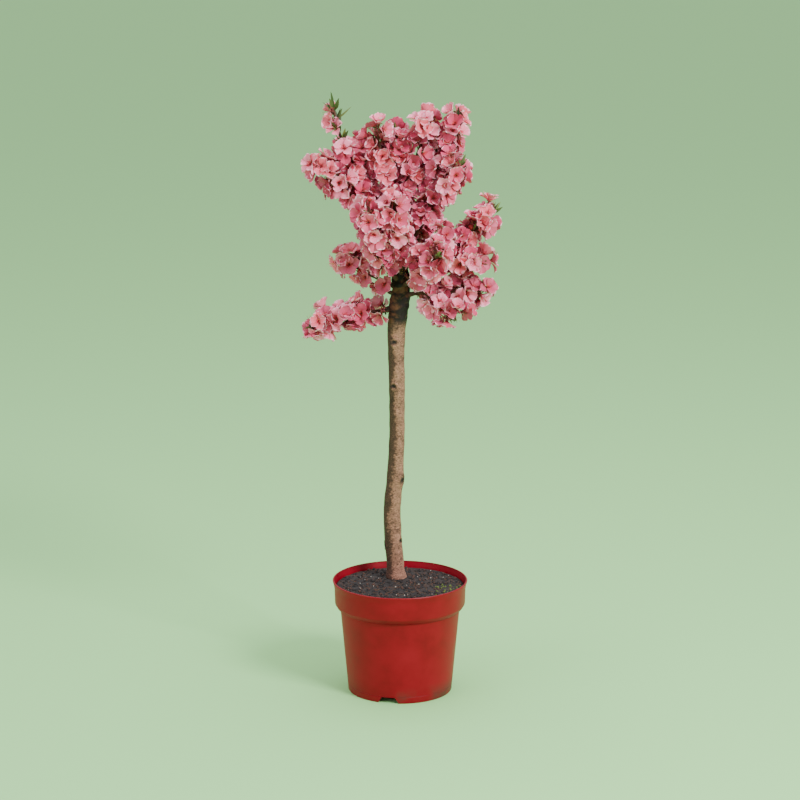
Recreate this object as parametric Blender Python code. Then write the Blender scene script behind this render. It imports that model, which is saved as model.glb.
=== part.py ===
"""Potted dwarf nectarine tree in full blossom, about 0.85 m tall, in a red nursery pot.

Metres, +Z up. The pot stands on Z = 0 with its axis on the Z axis, and the front of the tree
faces -Y. A heading of 0 degrees points along +X, and one of 90 degrees along +Y, to the back.
A climb is the angle above the level, and lift is how much a limb's climb gains along it.
"""

import math
import random
from collections import namedtuple

import bmesh
import bpy
from mathutils import Matrix, Vector
from mathutils.bvhtree import BVHTree

GAP = 0.0003

# Pot
POT_HEIGHT = 0.160
RIM_RADIUS = 0.095
BAND_RADIUS = 0.0922
BAND_DROP = 0.0345
BAND_STEP = 0.0070
BODY_RADIUS = 0.0842
FOOT_RADIUS = 0.0733
EDGE_ROUND = 0.0010
LIP_DROP = 0.012
POT_WALL = 0.0020
BASE_HEIGHT = 0.0095
POT_FACETS = 36
NOTCHES = 3
NOTCH_HEADING = -103
NOTCH_WIDTH = 0.030
NOTCH_TOP_WIDTH = 0.019
NOTCH_HEIGHT = 0.0088

# Soil
SOIL_EDGE = 0.1505
SOIL_TOP = 0.1565
SOIL_LUMP = 0.0009
SOIL_TREAD = 0.018

# Trunk, as (height, sideways, back, radius) from the soil to the fork
TRUNK_STATIONS = (
    (0.1568, -0.0050, 0.0240, 0.0152),
    (0.1720, -0.0062, 0.0234, 0.0126),
    (0.2460, -0.0110, 0.0200, 0.0122),
    (0.3160, -0.0063, 0.0160, 0.0115),
    (0.3720, -0.0042, 0.0130, 0.0109),
    (0.4480, -0.0045, 0.0080, 0.0112),
    (0.5100, -0.0050, 0.0040, 0.0121),
    (0.5480, -0.0022, 0.0016, 0.0139),
    (0.5700, 0.0010, 0.0008, 0.0131),
    (0.5900, 0.0010, 0.0004, 0.0116),
    (0.6250, 0.0000, 0.0000, 0.0088),
)
TRUNK_SIDES = 14
TRUNK_RING_STEP = 0.0140

# Swellings of the trunk, as (height, heading, half height, half width, how far they stand out)
TRUNK_KNOTS = (
    (0.302, -35, 0.011, 0.0070, 0.0022),
    (0.439, -114, 0.007, 0.0060, 0.0007),
    (0.503, -105, 0.008, 0.0070, 0.0008),
    (0.545, -60, 0.012, 0.0090, 0.0016),
    (0.558, 150, 0.010, 0.0090, 0.0014),
    (0.204, -170, 0.008, 0.0060, 0.0007),
    (0.212, -30, 0.007, 0.0060, 0.0006),
)

# Boughs, as name: (height on the trunk, heading, climb, reach, lift, foot radius)
BOUGHS = {
    "low_left": (0.552, 188, -14, 0.026, 4, 0.0060),
    "mid_left": (0.574, 188, 36, 0.026, -8, 0.0044),
    "upper_left": (0.600, 173, 60, 0.045, 8, 0.0048),
    "centre": (0.622, 105, 80, 0.042, 0, 0.0052),
    "upper_right": (0.606, 4, 62, 0.042, 8, 0.0048),
    "right": (0.585, 4, 30, 0.032, 6, 0.0044),
    "low_right": (0.566, 342, 13, 0.026, 4, 0.0042),
    "front": (0.596, 260, 40, 0.032, 14, 0.0040),
    "front_right": (0.580, 299, 22, 0.030, 6, 0.0040),
    "front_left": (0.586, 231, 34, 0.032, 10, 0.0040),
    "back": (0.592, 87, 36, 0.040, 14, 0.0040),
    "back_left": (0.604, 126, 41, 0.042, 14, 0.0040),
    "back_right": (0.598, 53, 39, 0.044, 14, 0.0040),
}
BOUGH_SIDES = 8
BOUGH_RINGS = 6
BOUGH_TIP_RADIUS = 0.0027

# Shoots of each mass, as (share along the first shoot, heading, climb, reach, lift, share in
# blossom, length of the leaves at its tip). The first shoot grows on from the bough.
SHOOTS = {
    "low_left": ((0, 184, -9, 0.098, -6, 1.0, 0.012),),
    "mid_left": ((0, 189, 24, 0.066, 10, 1.0, 0.016),),
    "upper_left": (
        (0, 182, 60, 0.201, 18, 0.68, 0.030),
        (0.27, 195, 38, 0.100, 10, 1.0, 0.018),
        (0.50, 14, 64, 0.044, 12, 1.0, 0.016),
    ),
    "centre": (
        (0, 115, 82, 0.129, 6, 1.0, 0.018),
        (0.27, 214, 64, 0.101, 14, 1.0, 0.016),
        (0.30, 350, 61, 0.116, 16, 1.0, 0.016),
    ),
    "upper_right": (
        (0, 358, 64, 0.180, 12, 1.0, 0.022),
        (0.29, 333, 40, 0.078, 22, 1.0, 0.018),
        (0.42, 86, 69, 0.078, 14, 1.0, 0.016),
    ),
    "right": (
        (0, 358, 33, 0.130, 12, 0.92, 0.020),
        (0.22, 338, -6, 0.062, 12, 1.0, 0.014),
    ),
    "low_right": (
        (0, 360, -2, 0.091, 8, 1.0, 0.012),
        (0.10, 318, -34, 0.056, 4, 1.0, 0.012),
    ),
    "front": ((0, 265, 45, 0.110, 20, 1.0, 0.016),),
    "front_right": (
        (0, 294, 24, 0.101, 10, 1.0, 0.014),
        (0.48, 7, 48, 0.055, 20, 1.0, 0.014),
    ),
    "front_left": ((0, 250, 37, 0.122, 20, 1.0, 0.016),),
    "back": (
        (0, 90, 39, 0.119, 20, 1.0, 0.016),
        (0.16, 80, -4, 0.060, 8, 1.0, 0.014),
    ),
    "back_left": ((0, 125, 48, 0.136, 16, 1.0, 0.018),),
    "back_right": ((0, 58, 50, 0.134, 14, 1.0, 0.018),),
}
SHOOT_SIDES = 5
SHOOT_TIP_RADIUS = 0.0013
SIDE_SHOOT_RADIUS = 0.0018
SIDE_SHOOT_SIDES = 3
TWIG_RING_STEP = 0.020
LINE_STEPS = 24

# Spurs: the short side twigs, one every SPUR_STEP along a shoot
SPUR_FIRST = 0.016
SPUR_STEP = 0.021
SPUR_REACH = (0.011, 0.019)
SPUR_LEAN = 52
SPUR_RADIUS = 0.0010

# Blossom and leaves stand at sites that turn round the twig like a peach's buds, two turns in five
SITE_STEP = 0.0095
OTHER_SIDES = (0, 72, -72, 144, -144)
SITE_TURN = 144
SITE_FIRST = 0.006
FLOWER_RADIUS = 0.0165
FLOWER_SIZES = (1.0, 0.82, 0.66)
FLOWER_LEAN = 24
FLOWER_RISE = 0.15
NECK_RADIUS = 0.0012
NECK_HEIGHT = 0.0040
CUP_THROAT = 0.0070
CUP_NOTCH = 0.0090
CUP_RIM = 0.0115
PETALS = 5
NOTCH_SHARE = 0.42
PETAL_HALF_ANGLE = 19
LEAF_WIDTH_SHARE = 0.26
LEAF_THICKNESS = 0.0009
TUFT_LEAVES = 3
TUFT_SPREAD = 34
TUFT_SEAT = 0.96
SEED = 1907

CLEARANCE = 0.0005
CROWN_CENTRE = Vector((0.0, 0.0, 0.66))

Twig = namedtuple("Twig", "path foot tip sides")
Flower = namedtuple("Flower", "seat facing roll size")
Leaf = namedtuple("Leaf", "seat pointing roll length")
Wanted = namedtuple("Wanted", "rank host options")


def direction(heading, climb):
    """Unit vector of a heading and a climb in degrees."""
    turn, slope = math.radians(heading), math.radians(climb)
    level = math.cos(slope)
    return Vector((math.cos(turn) * level, math.sin(turn) * level, math.sin(slope)))


def smooth_value(stations, height, column):
    """Value in a column of stations at a height, eased from each station to the next."""
    heights = [row[0] for row in stations]
    last = len(stations) - 2
    lower = min(last, max(0, sum(height >= level for level in heights) - 1))

    def slope(index):
        before, after = max(index - 1, 0), min(index + 1, len(stations) - 1)
        rise = stations[after][column] - stations[before][column]
        return rise / (heights[after] - heights[before])

    span = heights[lower + 1] - heights[lower]
    part = min(1.0, max(0.0, (height - heights[lower]) / span))
    start, end = stations[lower][column], stations[lower + 1][column]
    ease = part * part * (3 - 2 * part)
    leave = span * slope(lower) * part * (1 - part) ** 2
    arrive = span * slope(lower + 1) * part * part * (1 - part)
    return start + (end - start) * ease + leave - arrive


def trunk_axis(height):
    """Centre of the trunk at a height."""
    across = smooth_value(TRUNK_STATIONS, height, 1)
    back = smooth_value(TRUNK_STATIONS, height, 2)
    return Vector((across, back, height))


def trunk_radius(height, heading):
    """Radius of the trunk at a height and heading, with its knots."""
    radius = smooth_value(TRUNK_STATIONS, height, 3)
    for level, side, half_height, half_width, stand in TRUNK_KNOTS:
        turn = math.radians((heading - side + 180) % 360 - 180)
        down = (height - level) / half_height
        across = turn * radius / half_width
        radius += stand * math.exp(-down * down - across * across)
    return radius


class Path:
    """Points along a limb, with a frame at each that follows the limb and doesn't twist."""

    def __init__(self, points, first_along=None):
        self.points = points
        last = len(points) - 1
        spans = [points[min(i + 1, last)] - points[max(i - 1, 0)] for i in range(last + 1)]
        self.along = [span.normalized() for span in spans]
        if first_along is not None:
            self.along[0] = first_along
        self.side = [self.along[0].orthogonal().normalized()]
        for before, after in zip(self.along, self.along[1:]):
            side = before.rotation_difference(after) @ self.side[-1]
            self.side.append(side.normalized())

    def frame(self, share):
        """Point, direction, side and over vector at a share of the way along."""
        place = share * (len(self.points) - 1)
        lower = min(int(place), len(self.points) - 2)
        part = place - lower
        point = self.points[lower].lerp(self.points[lower + 1], part)
        along = self.along[lower].lerp(self.along[lower + 1], part).normalized()
        side = self.side[lower].lerp(self.side[lower + 1], part)
        side = (side - along * side.dot(along)).normalized()
        return point, along, side, along.cross(side)


def limb_path(start, heading, climb, reach, lift, first_along=None):
    """Path of a limb whose climb changes evenly from its foot to its tip."""
    points = [start.copy()]
    for step in range(LINE_STEPS):
        slope = climb + lift * (step + 0.5) / LINE_STEPS
        points.append(points[-1] + direction(heading, slope) * (reach / LINE_STEPS))
    return Path(points, first_along)


def loft(bm, rings):
    """Skin a row of rings of points, closed by a flat face at either end."""
    verts = [bm.verts.new(point) for point in rings[0]]
    face = bm.faces.new(verts)
    for index, ring in enumerate(rings[1:]):
        grown = bmesh.ops.extrude_face_region(bm, geom=[face])["geom"]
        if index:
            bmesh.ops.delete(bm, geom=[face], context="FACES_ONLY")
        face = next(item for item in grown if isinstance(item, bmesh.types.BMFace))
        twins = {tuple(vert.co): vert for vert in face.verts}
        verts = [twins[tuple(vert.co)] for vert in verts]
        for vert, point in zip(verts, ring):
            vert.co = point


def limb_rings(path, foot, tip, sides, count):
    """Round rings along a path, tapering from the foot radius to the tip radius."""
    rings = []
    for index in range(count):
        share = index / (count - 1)
        point, _, side, over = path.frame(share)
        radius = foot + (tip - foot) * share
        turns = [2 * math.pi * corner / sides for corner in range(sides)]
        rings.append([point + (side * math.cos(turn) + over * math.sin(turn)) * radius for turn in turns])
    return rings


def add_object(name, bm, material):
    """Turn a bmesh into a smooth-shaded object with its material."""
    bmesh.ops.recalc_face_normals(bm, faces=bm.faces)
    mesh = bpy.data.meshes.new(name)
    bm.to_mesh(mesh)
    bm.free()
    mesh.materials.append(material)
    mesh.shade_smooth()
    mesh.set_sharp_from_angle(angle=math.radians(35))
    thing = bpy.data.objects.new(name, mesh)
    bpy.context.scene.collection.objects.link(thing)
    return thing


def add_material(name, colour, roughness):
    """Principled material of one colour."""
    material = bpy.data.materials.new(name)
    material.use_nodes = True
    shader = material.node_tree.nodes["Principled BSDF"]
    shader.inputs["Base Color"].default_value = (*colour, 1.0)
    shader.inputs["Roughness"].default_value = roughness
    shader.inputs["Metallic"].default_value = 0.0
    return material


def apply_boolean(thing, operation, cutter=None, collection=None, solver="EXACT"):
    """Join or cut a solid with another one, or with a collection of them, for good."""
    modifier = thing.modifiers.new("join", "BOOLEAN")
    modifier.operation = operation
    modifier.solver = solver
    if collection is None:
        modifier.object = cutter
    else:
        modifier.operand_type = "COLLECTION"
        modifier.collection = collection
    bpy.context.view_layer.update()
    depsgraph = bpy.context.evaluated_depsgraph_get()
    joined = bpy.data.meshes.new_from_object(thing.evaluated_get(depsgraph))
    thing.modifiers.clear()
    thing.data = joined


def pot_wall():
    """Outer side of the pot as (radius, height), from the foot up to the lip."""
    band_foot = POT_HEIGHT - BAND_DROP
    return (
        (FOOT_RADIUS - EDGE_ROUND, 0.0),
        (FOOT_RADIUS, EDGE_ROUND),
        (BODY_RADIUS, band_foot - BAND_STEP),
        (BAND_RADIUS - 0.4 * (BAND_RADIUS - BODY_RADIUS), band_foot - 0.5 * BAND_STEP),
        (BAND_RADIUS - EDGE_ROUND, band_foot),
        (BAND_RADIUS - 0.3 * EDGE_ROUND, band_foot + 2 * EDGE_ROUND),
        (BAND_RADIUS + 0.3 * EDGE_ROUND, POT_HEIGHT - LIP_DROP),
        (RIM_RADIUS, POT_HEIGHT - EDGE_ROUND),
        (RIM_RADIUS - 0.5 * EDGE_ROUND, POT_HEIGHT),
    )


def inside_radius(height):
    """Radius of the pot's inner side at a height above its base."""
    outer = pot_wall()
    for (low_radius, low), (high_radius, high) in zip(outer[1:], outer[2:]):
        if height <= high:
            part = (height - low) / (high - low)
            return low_radius + (high_radius - low_radius) * part - POT_WALL
    return outer[-1][0] - POT_WALL


def make_pot(material):
    """Thin turned pot with a stepped band, and a foot ring with drainage notches."""
    floor_height = BASE_HEIGHT + POT_WALL
    outer = pot_wall()
    inner = [(inside_radius(floor_height), floor_height)]
    inner += [(radius - POT_WALL, height) for radius, height in outer[2:]]
    ring = [(FOOT_RADIUS - POT_WALL - EDGE_ROUND, 0.0), (FOOT_RADIUS - POT_WALL, BASE_HEIGHT)]
    profile = inner + list(reversed(outer)) + ring
    bm = bmesh.new()
    half_facet = Matrix.Rotation(math.pi / POT_FACETS, 3, "Z")
    verts = [bm.verts.new(half_facet @ Vector((radius, 0, height))) for radius, height in profile]
    edges = [bm.edges.new(pair) for pair in zip(verts, verts[1:])]
    bmesh.ops.spin(
        bm, geom=verts + edges, cent=(0, 0, 0), axis=(0, 0, 1),
        angle=2 * math.pi, steps=POT_FACETS, use_merge=True)
    bmesh.ops.holes_fill(bm, edges=[edge for edge in bm.edges if edge.is_boundary], sides=POT_FACETS)
    pot = add_object("pot", bm, material)
    for index in range(NOTCHES):
        cut_notch(pot, NOTCH_HEADING + 360 * index / NOTCHES, material)
    return pot


def cut_notch(pot, heading, material):
    """Cut one flared drainage notch through the foot ring."""
    reach = 2 * EDGE_ROUND
    low_half, top_half = NOTCH_WIDTH / 2, NOTCH_TOP_WIDTH / 2
    spread = reach * (low_half - top_half) / NOTCH_HEIGHT
    low_edge = ((-low_half - spread, -reach), (low_half + spread, -reach))
    outline = (*low_edge, (top_half, NOTCH_HEIGHT), (-top_half, NOTCH_HEIGHT))
    turn = Matrix.Rotation(math.radians(heading), 3, "Z")
    rings = []
    for radius in (FOOT_RADIUS - 4 * POT_WALL, FOOT_RADIUS + 4 * POT_WALL):
        rings.append([turn @ Vector((radius, across, height)) for across, height in outline])
    bm = bmesh.new()
    loft(bm, rings)
    cutter = add_object("notch_cutter", bm, material)
    apply_boolean(pot, "DIFFERENCE", cutter=cutter)
    bpy.data.objects.remove(cutter, do_unlink=True)


def make_soil(material):
    """Plug of soil that fills the pot and heaps up to a flat tread under the trunk."""
    draw = random.Random(SEED)
    foot = trunk_axis(SOIL_TOP)
    outer = pot_wall()
    floor_height = BASE_HEIGHT + POT_WALL + GAP
    levels = [floor_height] + [height for _, height in outer[2:] if height < SOIL_EDGE] + [SOIL_EDGE]
    turns = [2 * math.pi * (corner + 0.5) / POT_FACETS for corner in range(POT_FACETS)]

    def circle(centre, radius, height):
        middle = Vector((centre.x, centre.y, height))
        return [middle + Vector((math.cos(t), math.sin(t), 0)) * radius for t in turns]

    axis = Vector((0, 0, 0))
    rings = [circle(axis, inside_radius(level) - GAP, level) for level in levels]
    edge_radius = inside_radius(SOIL_EDGE) - GAP
    for share in (0.25, 0.6, 1.0):
        radius = edge_radius + (SOIL_TREAD - edge_radius) * share
        height = SOIL_EDGE + (SOIL_TOP - SOIL_EDGE) * math.sin(share * math.pi / 2)
        ring = circle(foot * share, radius, height)
        if share < 1:
            ring = [point + Vector((0, 0, draw.uniform(-SOIL_LUMP, SOIL_LUMP))) for point in ring]
        rings.append(ring)
    bm = bmesh.new()
    loft(bm, rings)
    bmesh.ops.triangulate(bm, faces=[face for face in bm.faces if len(face.verts) == 4])
    return add_object("soil", bm, material)


def trunk_rings(grow=0.0):
    """Rings of the trunk from its flat cut on the soil to its fork, grown by a clearance."""
    foot, fork = TRUNK_STATIONS[0][0] - grow, TRUNK_STATIONS[-1][0] + grow
    count = round((fork - foot) / TRUNK_RING_STEP) + 1
    rings = []
    for index in range(count):
        height = foot + (fork - foot) * index / (count - 1)
        centre = trunk_axis(height)
        ring = []
        for corner in range(TRUNK_SIDES):
            heading = 360 * corner / TRUNK_SIDES
            ring.append(centre + direction(heading, 0) * (trunk_radius(height, heading) + grow))
        rings.append(ring)
    return rings


def make_trunk(material):
    """Leaning, tapering trunk with its knots and its graft."""
    bm = bmesh.new()
    loft(bm, trunk_rings())
    return add_object("trunk", bm, material)


def make_boughs(material):
    """Tapering boughs, each cut clear of the trunk. Returns the objects and their paths."""
    bm = bmesh.new()
    loft(bm, trunk_rings(grow=GAP))
    clear_of_trunk = add_object("trunk_cutter", bm, material)
    boughs, paths = {}, {}
    for name, (height, heading, climb, reach, lift, radius) in BOUGHS.items():
        path = limb_path(trunk_axis(height), heading, climb, reach, lift)
        bm = bmesh.new()
        loft(bm, limb_rings(path, radius, BOUGH_TIP_RADIUS, BOUGH_SIDES, BOUGH_RINGS))
        bough = add_object("bough_" + name, bm, material)
        apply_boolean(bough, "DIFFERENCE", cutter=clear_of_trunk)
        boughs[name], paths[name] = bough, path
    bpy.data.objects.remove(clear_of_trunk, do_unlink=True)
    return boughs, paths


def plan_shoots(name, bough_path):
    """Shoots of a mass: the first grows on from its bough, and the others from the first."""
    tip, tip_along, _, _ = bough_path.frame(1.0)
    shoots = []
    for share, heading, climb, reach, lift, blossom, leaf in SHOOTS[name]:
        if shoots:
            start = shoots[0][0].path.frame(share)[0]
            path = limb_path(start, heading, climb, reach, lift)
            twig = Twig(path, SIDE_SHOOT_RADIUS, SHOOT_TIP_RADIUS, SIDE_SHOOT_SIDES)
        else:
            path = limb_path(tip + tip_along * GAP, heading, climb, reach, lift, tip_along)
            twig = Twig(path, BOUGH_TIP_RADIUS, SHOOT_TIP_RADIUS, SHOOT_SIDES)
        shoots.append((twig, reach, blossom, leaf))
    return shoots


def out_of(frame, bearing, lean):
    """Direction that stands out of a twig at a bearing round it, leaning towards its tip."""
    _, along, side, over = frame
    turn, tilt = math.radians(bearing), math.radians(lean)
    out = side * math.cos(turn) + over * math.sin(turn)
    facing = out * math.cos(tilt) + along * math.sin(tilt)
    return (facing + Vector((0, 0, FLOWER_RISE))).normalized()


def plan_sites(shoot, reach, blossom, leaf, draw):
    """Flowers along a shoot, and leaves past its blossom, each with its choice of side and size."""
    sites = []
    bearing = draw.uniform(0, 360)
    distance = SITE_FIRST
    while distance < reach:
        bearing += SITE_TURN + draw.uniform(-8, 8)
        lean = FLOWER_LEAN + draw.uniform(-6, 6)
        roll = draw.uniform(0, 360)
        frame = shoot.path.frame(distance / reach)
        options = []
        for size in FLOWER_SIZES:
            for turn in OTHER_SIDES:
                facing = out_of(frame, bearing + turn, lean)
                flower = Flower(frame[0], facing, roll, size)
                blade = Leaf(frame[0], facing, roll, 0.8 * leaf)
                options.append([flower if distance < reach * blossom else blade])
        sites.append(options)
        distance += SITE_STEP
    return sites


def plan_spurs(shoot, reach, blossom, draw):
    """Short side twigs that end in a flower, along the part of a shoot that is in blossom."""
    spurs = []
    bearing = draw.uniform(0, 360)
    distance = SPUR_FIRST
    while distance < reach * blossom:
        bearing += SITE_TURN + draw.uniform(-20, 20)
        length = draw.uniform(*SPUR_REACH)
        lean = SPUR_LEAN + draw.uniform(-10, 10)
        roll = draw.uniform(0, 360)
        frame = shoot.path.frame(distance / reach)
        options = []
        for size in FLOWER_SIZES:
            for turn in OTHER_SIDES:
                facing = out_of(frame, bearing + turn, lean)
                points = [frame[0] + facing * (length * step / 2) for step in range(3)]
                spur = Twig(Path(points), SPUR_RADIUS, 0.7 * SPUR_RADIUS, 3)
                flower = Flower(points[1].lerp(points[2], 0.7), facing, roll, size)
                options.append([flower, spur])
        spurs.append(options)
        distance += SPUR_STEP
    return spurs


def plan_tuft(path, leaf, draw):
    """Leaves that open round the tip of a shoot."""
    frame = path.frame(TUFT_SEAT)
    tuft = []
    start = draw.uniform(0, 360)
    for number in range(TUFT_LEAVES):
        spread = TUFT_SPREAD * draw.uniform(0.6, 1.2) if number else 0
        length = leaf * draw.uniform(0.7, 0.95) if number else leaf
        bearing = start + 360 * number / (TUFT_LEAVES - 1)
        tuft.append(Leaf(frame[0], out_of(frame, bearing, 90 - spread), bearing, length))
    return [tuft]


def plan_mass(name, bough_path, seed):
    """Shoots of a mass, and what may stand on each, ranked as leaves, flowers and spurs."""
    draw = random.Random(seed)
    shoots, wanted = [], []
    for index, (shoot, reach, blossom, leaf) in enumerate(plan_shoots(name, bough_path)):
        shoots.append(shoot)
        sites = plan_sites(shoot, reach, blossom, leaf, draw)
        tuft = plan_tuft(shoot.path, leaf, draw)
        spurs = plan_spurs(shoot, reach, blossom, draw)
        for rank, kind in enumerate(([tuft], sites, spurs)):
            wanted += [Wanted(rank, (name, index), options) for options in kind]
    return shoots, wanted


def facing_matrix(seat, facing, roll):
    """Matrix that stands a shape modelled along +Z at a seat, facing out."""
    turn = Vector((0, 0, 1)).rotation_difference(facing).to_matrix().to_4x4()
    return Matrix.Translation(seat) @ turn @ Matrix.Rotation(math.radians(roll), 4, "Z")


def rim_point(corner, size):
    """Corner of a flower's rim: each petal has a notch before it, and then its two shoulders."""
    petal, part = divmod(corner, 3)
    middle = 360 / PETALS * petal
    radius = size * FLOWER_RADIUS
    if part == 0:
        turn = math.radians(middle - 180 / PETALS)
        return NOTCH_SHARE * radius * math.cos(turn), NOTCH_SHARE * radius * math.sin(turn), CUP_NOTCH
    turn = math.radians(middle + (2 * part - 3) * PETAL_HALF_ANGLE)
    return radius * math.cos(turn), radius * math.sin(turn), CUP_RIM


def flower_bmesh(flower):
    """Cupped flower of five petals on a three-sided neck, whose point is sunk in its twig."""
    bm = bmesh.new()
    point = bm.verts.new((0, 0, 0))
    throat = bm.verts.new((0, 0, CUP_THROAT))
    turns = [math.radians(120 * corner - 120 / PETALS) for corner in range(3)]
    neck = [bm.verts.new((NECK_RADIUS * math.cos(t), NECK_RADIUS * math.sin(t), NECK_HEIGHT)) for t in turns]
    rim = [bm.verts.new(rim_point(corner, flower.size)) for corner in range(3 * PETALS)]
    for corner, here in enumerate(rim):
        after = rim[(corner + 1) % len(rim)]
        bm.faces.new((throat, here, after))
        bm.faces.new((neck[corner // PETALS], after, here))
    for corner, here in enumerate(neck):
        after = neck[(corner + 1) % 3]
        bm.faces.new((point, after, here))
        bm.faces.new((after, rim[PETALS * (corner + 1) % len(rim)], here))
    bm.transform(facing_matrix(flower.seat, flower.facing, flower.roll))
    return bm


def leaf_bmesh(leaf):
    """Narrow leaf of eight faces, widest before its middle, whose foot is sunk in its twig."""
    bm = bmesh.new()
    bmesh.ops.create_uvsphere(bm, u_segments=4, v_segments=2, radius=1.0)
    half_width = LEAF_WIDTH_SHARE * leaf.length / 2
    for vert in bm.verts:
        share = {-1: 0.0, 0: 0.45, 1: 1.0}[round(vert.co.z)]
        vert.co = (vert.co.x * half_width, vert.co.y * LEAF_THICKNESS / 2, share * leaf.length)
    bm.transform(facing_matrix(leaf.seat, leaf.pointing, leaf.roll))
    return bm


def twig_bmesh(twig):
    """Tapering twig."""
    length = sum((after - before).length for before, after in zip(twig.path.points, twig.path.points[1:]))
    count = max(2, round(length / TWIG_RING_STEP) + 1)
    bm = bmesh.new()
    loft(bm, limb_rings(twig.path, twig.foot, twig.tip, twig.sides, count))
    return bm


SHAPES = {Twig: twig_bmesh, Flower: flower_bmesh, Leaf: leaf_bmesh}


class Ball:
    """Surface of a solid with a sphere round it, to test what comes too near."""

    def __init__(self, bm):
        bmesh.ops.recalc_face_normals(bm, faces=bm.faces)
        self.corners = [vert.co.copy() for vert in bm.verts]
        self.tree = BVHTree.FromBMesh(bm)
        self.middle = sum(self.corners, Vector()) / len(self.corners)
        self.radius = max((corner - self.middle).length for corner in self.corners)

    def touches(self, other):
        """True where the two solids meet or come nearer than the clearance."""
        if (self.middle - other.middle).length > self.radius + other.radius + CLEARANCE:
            return False
        if self.tree.overlap(other.tree):
            return True
        near = any(other.tree.find_nearest(corner, CLEARANCE)[0] for corner in self.corners)
        return near or any(self.tree.find_nearest(corner, CLEARANCE)[0] for corner in other.corners)


def mesh_ball(thing):
    """Ball of an object's mesh."""
    bm = bmesh.new()
    bm.from_mesh(thing.data)
    ball = Ball(bm)
    bm.free()
    return ball


def choose_pieces(plans, limbs):
    """Shapes of each mass: its shoots, and then what stands on them and touches nothing else.

    Leaves come first, then flowers, then spurs, from the outside of the crown in. Each takes
    the first of its options that has room.
    """
    taken = [(None, mesh_ball(limb)) for limb in limbs]
    chosen, wanted = {}, []
    for name, (shoots, wishes) in plans.items():
        chosen[name] = [twig_bmesh(shoot) for shoot in shoots]
        taken += [((name, index), Ball(bm)) for index, bm in enumerate(chosen[name])]
        wanted += wishes
    wanted.sort(key=lambda wish: (wish.rank, -(wish.options[0][0].seat - CROWN_CENTRE).length))
    for _, host, options in wanted:
        others = [ball for owner, ball in taken if owner != host]
        for things in options:
            shapes = [SHAPES[type(thing)](thing) for thing in things]
            balls = [Ball(bm) for bm in shapes]
            if not any(ball.touches(other) for ball in balls for other in others):
                chosen[host[0]] += shapes
                taken += [(None, ball) for ball in balls]
                break
            for bm in shapes:
                bm.free()
    return chosen


def keep_largest_island(thing):
    """Drop loose scraps, and fill any hollow that the union sealed."""
    bm = bmesh.new()
    bm.from_mesh(thing.data)
    islands, seen = [], set()
    for first in bm.verts:
        if first in seen:
            continue
        seen.add(first)
        island, growing = [first], [first]
        while growing:
            vert = growing.pop()
            for edge in vert.link_edges:
                other = edge.other_vert(vert)
                if other not in seen:
                    seen.add(other)
                    island.append(other)
                    growing.append(other)
        islands.append(island)
    islands.sort(key=len)
    scraps = [vert for island in islands[:-1] for vert in island]
    bmesh.ops.delete(bm, geom=scraps, context="VERTS")
    bmesh.ops.triangulate(bm, faces=bm.faces)
    bm.to_mesh(thing.data)
    bm.free()


def join_mass(name, shapes, material):
    """Fuse the shapes of one mass into a single solid."""
    mass = add_object("blossom_" + name, shapes[0], material)
    rest = bpy.data.collections.new("rest_of_" + name)
    bpy.context.scene.collection.children.link(rest)
    for bm in shapes[1:]:
        piece = add_object("piece_of_" + name, bm, material)
        bpy.context.scene.collection.objects.unlink(piece)
        rest.objects.link(piece)
    apply_boolean(mass, "UNION", collection=rest, solver="MANIFOLD")
    for piece in list(rest.objects):
        bpy.data.objects.remove(piece, do_unlink=True)
    bpy.data.collections.remove(rest)
    keep_largest_island(mass)
    return mass


def clear_scene():
    """Remove every object that the scene starts with."""
    for thing in list(bpy.data.objects):
        bpy.data.objects.remove(thing, do_unlink=True)


def main():
    """Build the whole tree in its pot."""
    clear_scene()
    red_plastic = add_material("red_plastic", (0.32, 0.010, 0.011), 0.42)
    potting_soil = add_material("potting_soil", (0.032, 0.024, 0.022), 0.95)
    trunk_bark = add_material("trunk_bark", (0.29, 0.19, 0.13), 0.85)
    bough_bark = add_material("bough_bark", (0.055, 0.032, 0.026), 0.80)
    blossom = add_material("blossom", (0.62, 0.14, 0.20), 0.60)
    make_pot(red_plastic)
    make_soil(potting_soil)
    trunk = make_trunk(trunk_bark)
    boughs, paths = make_boughs(bough_bark)
    plans = {name: plan_mass(name, paths[name], SEED + index) for index, name in enumerate(SHOOTS)}
    chosen = choose_pieces(plans, [trunk, *boughs.values()])
    for name, shapes in chosen.items():
        join_mass(name, shapes, blossom)


if __name__ == "__main__":
    main()
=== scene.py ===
"""Looks of a potted dwarf nectarine tree in full blossom.

The tree grows here by the same rule as its solids, carried on to finer twigs, petals,
stamens and leaves. Metres, +Z up, the front of the tree faces -Y.
"""

import math
import random

import bpy
from bpy.props import FloatProperty, FloatVectorProperty, IntProperty, PointerProperty
from mathutils import Euler, Matrix, Vector, noise


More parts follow.
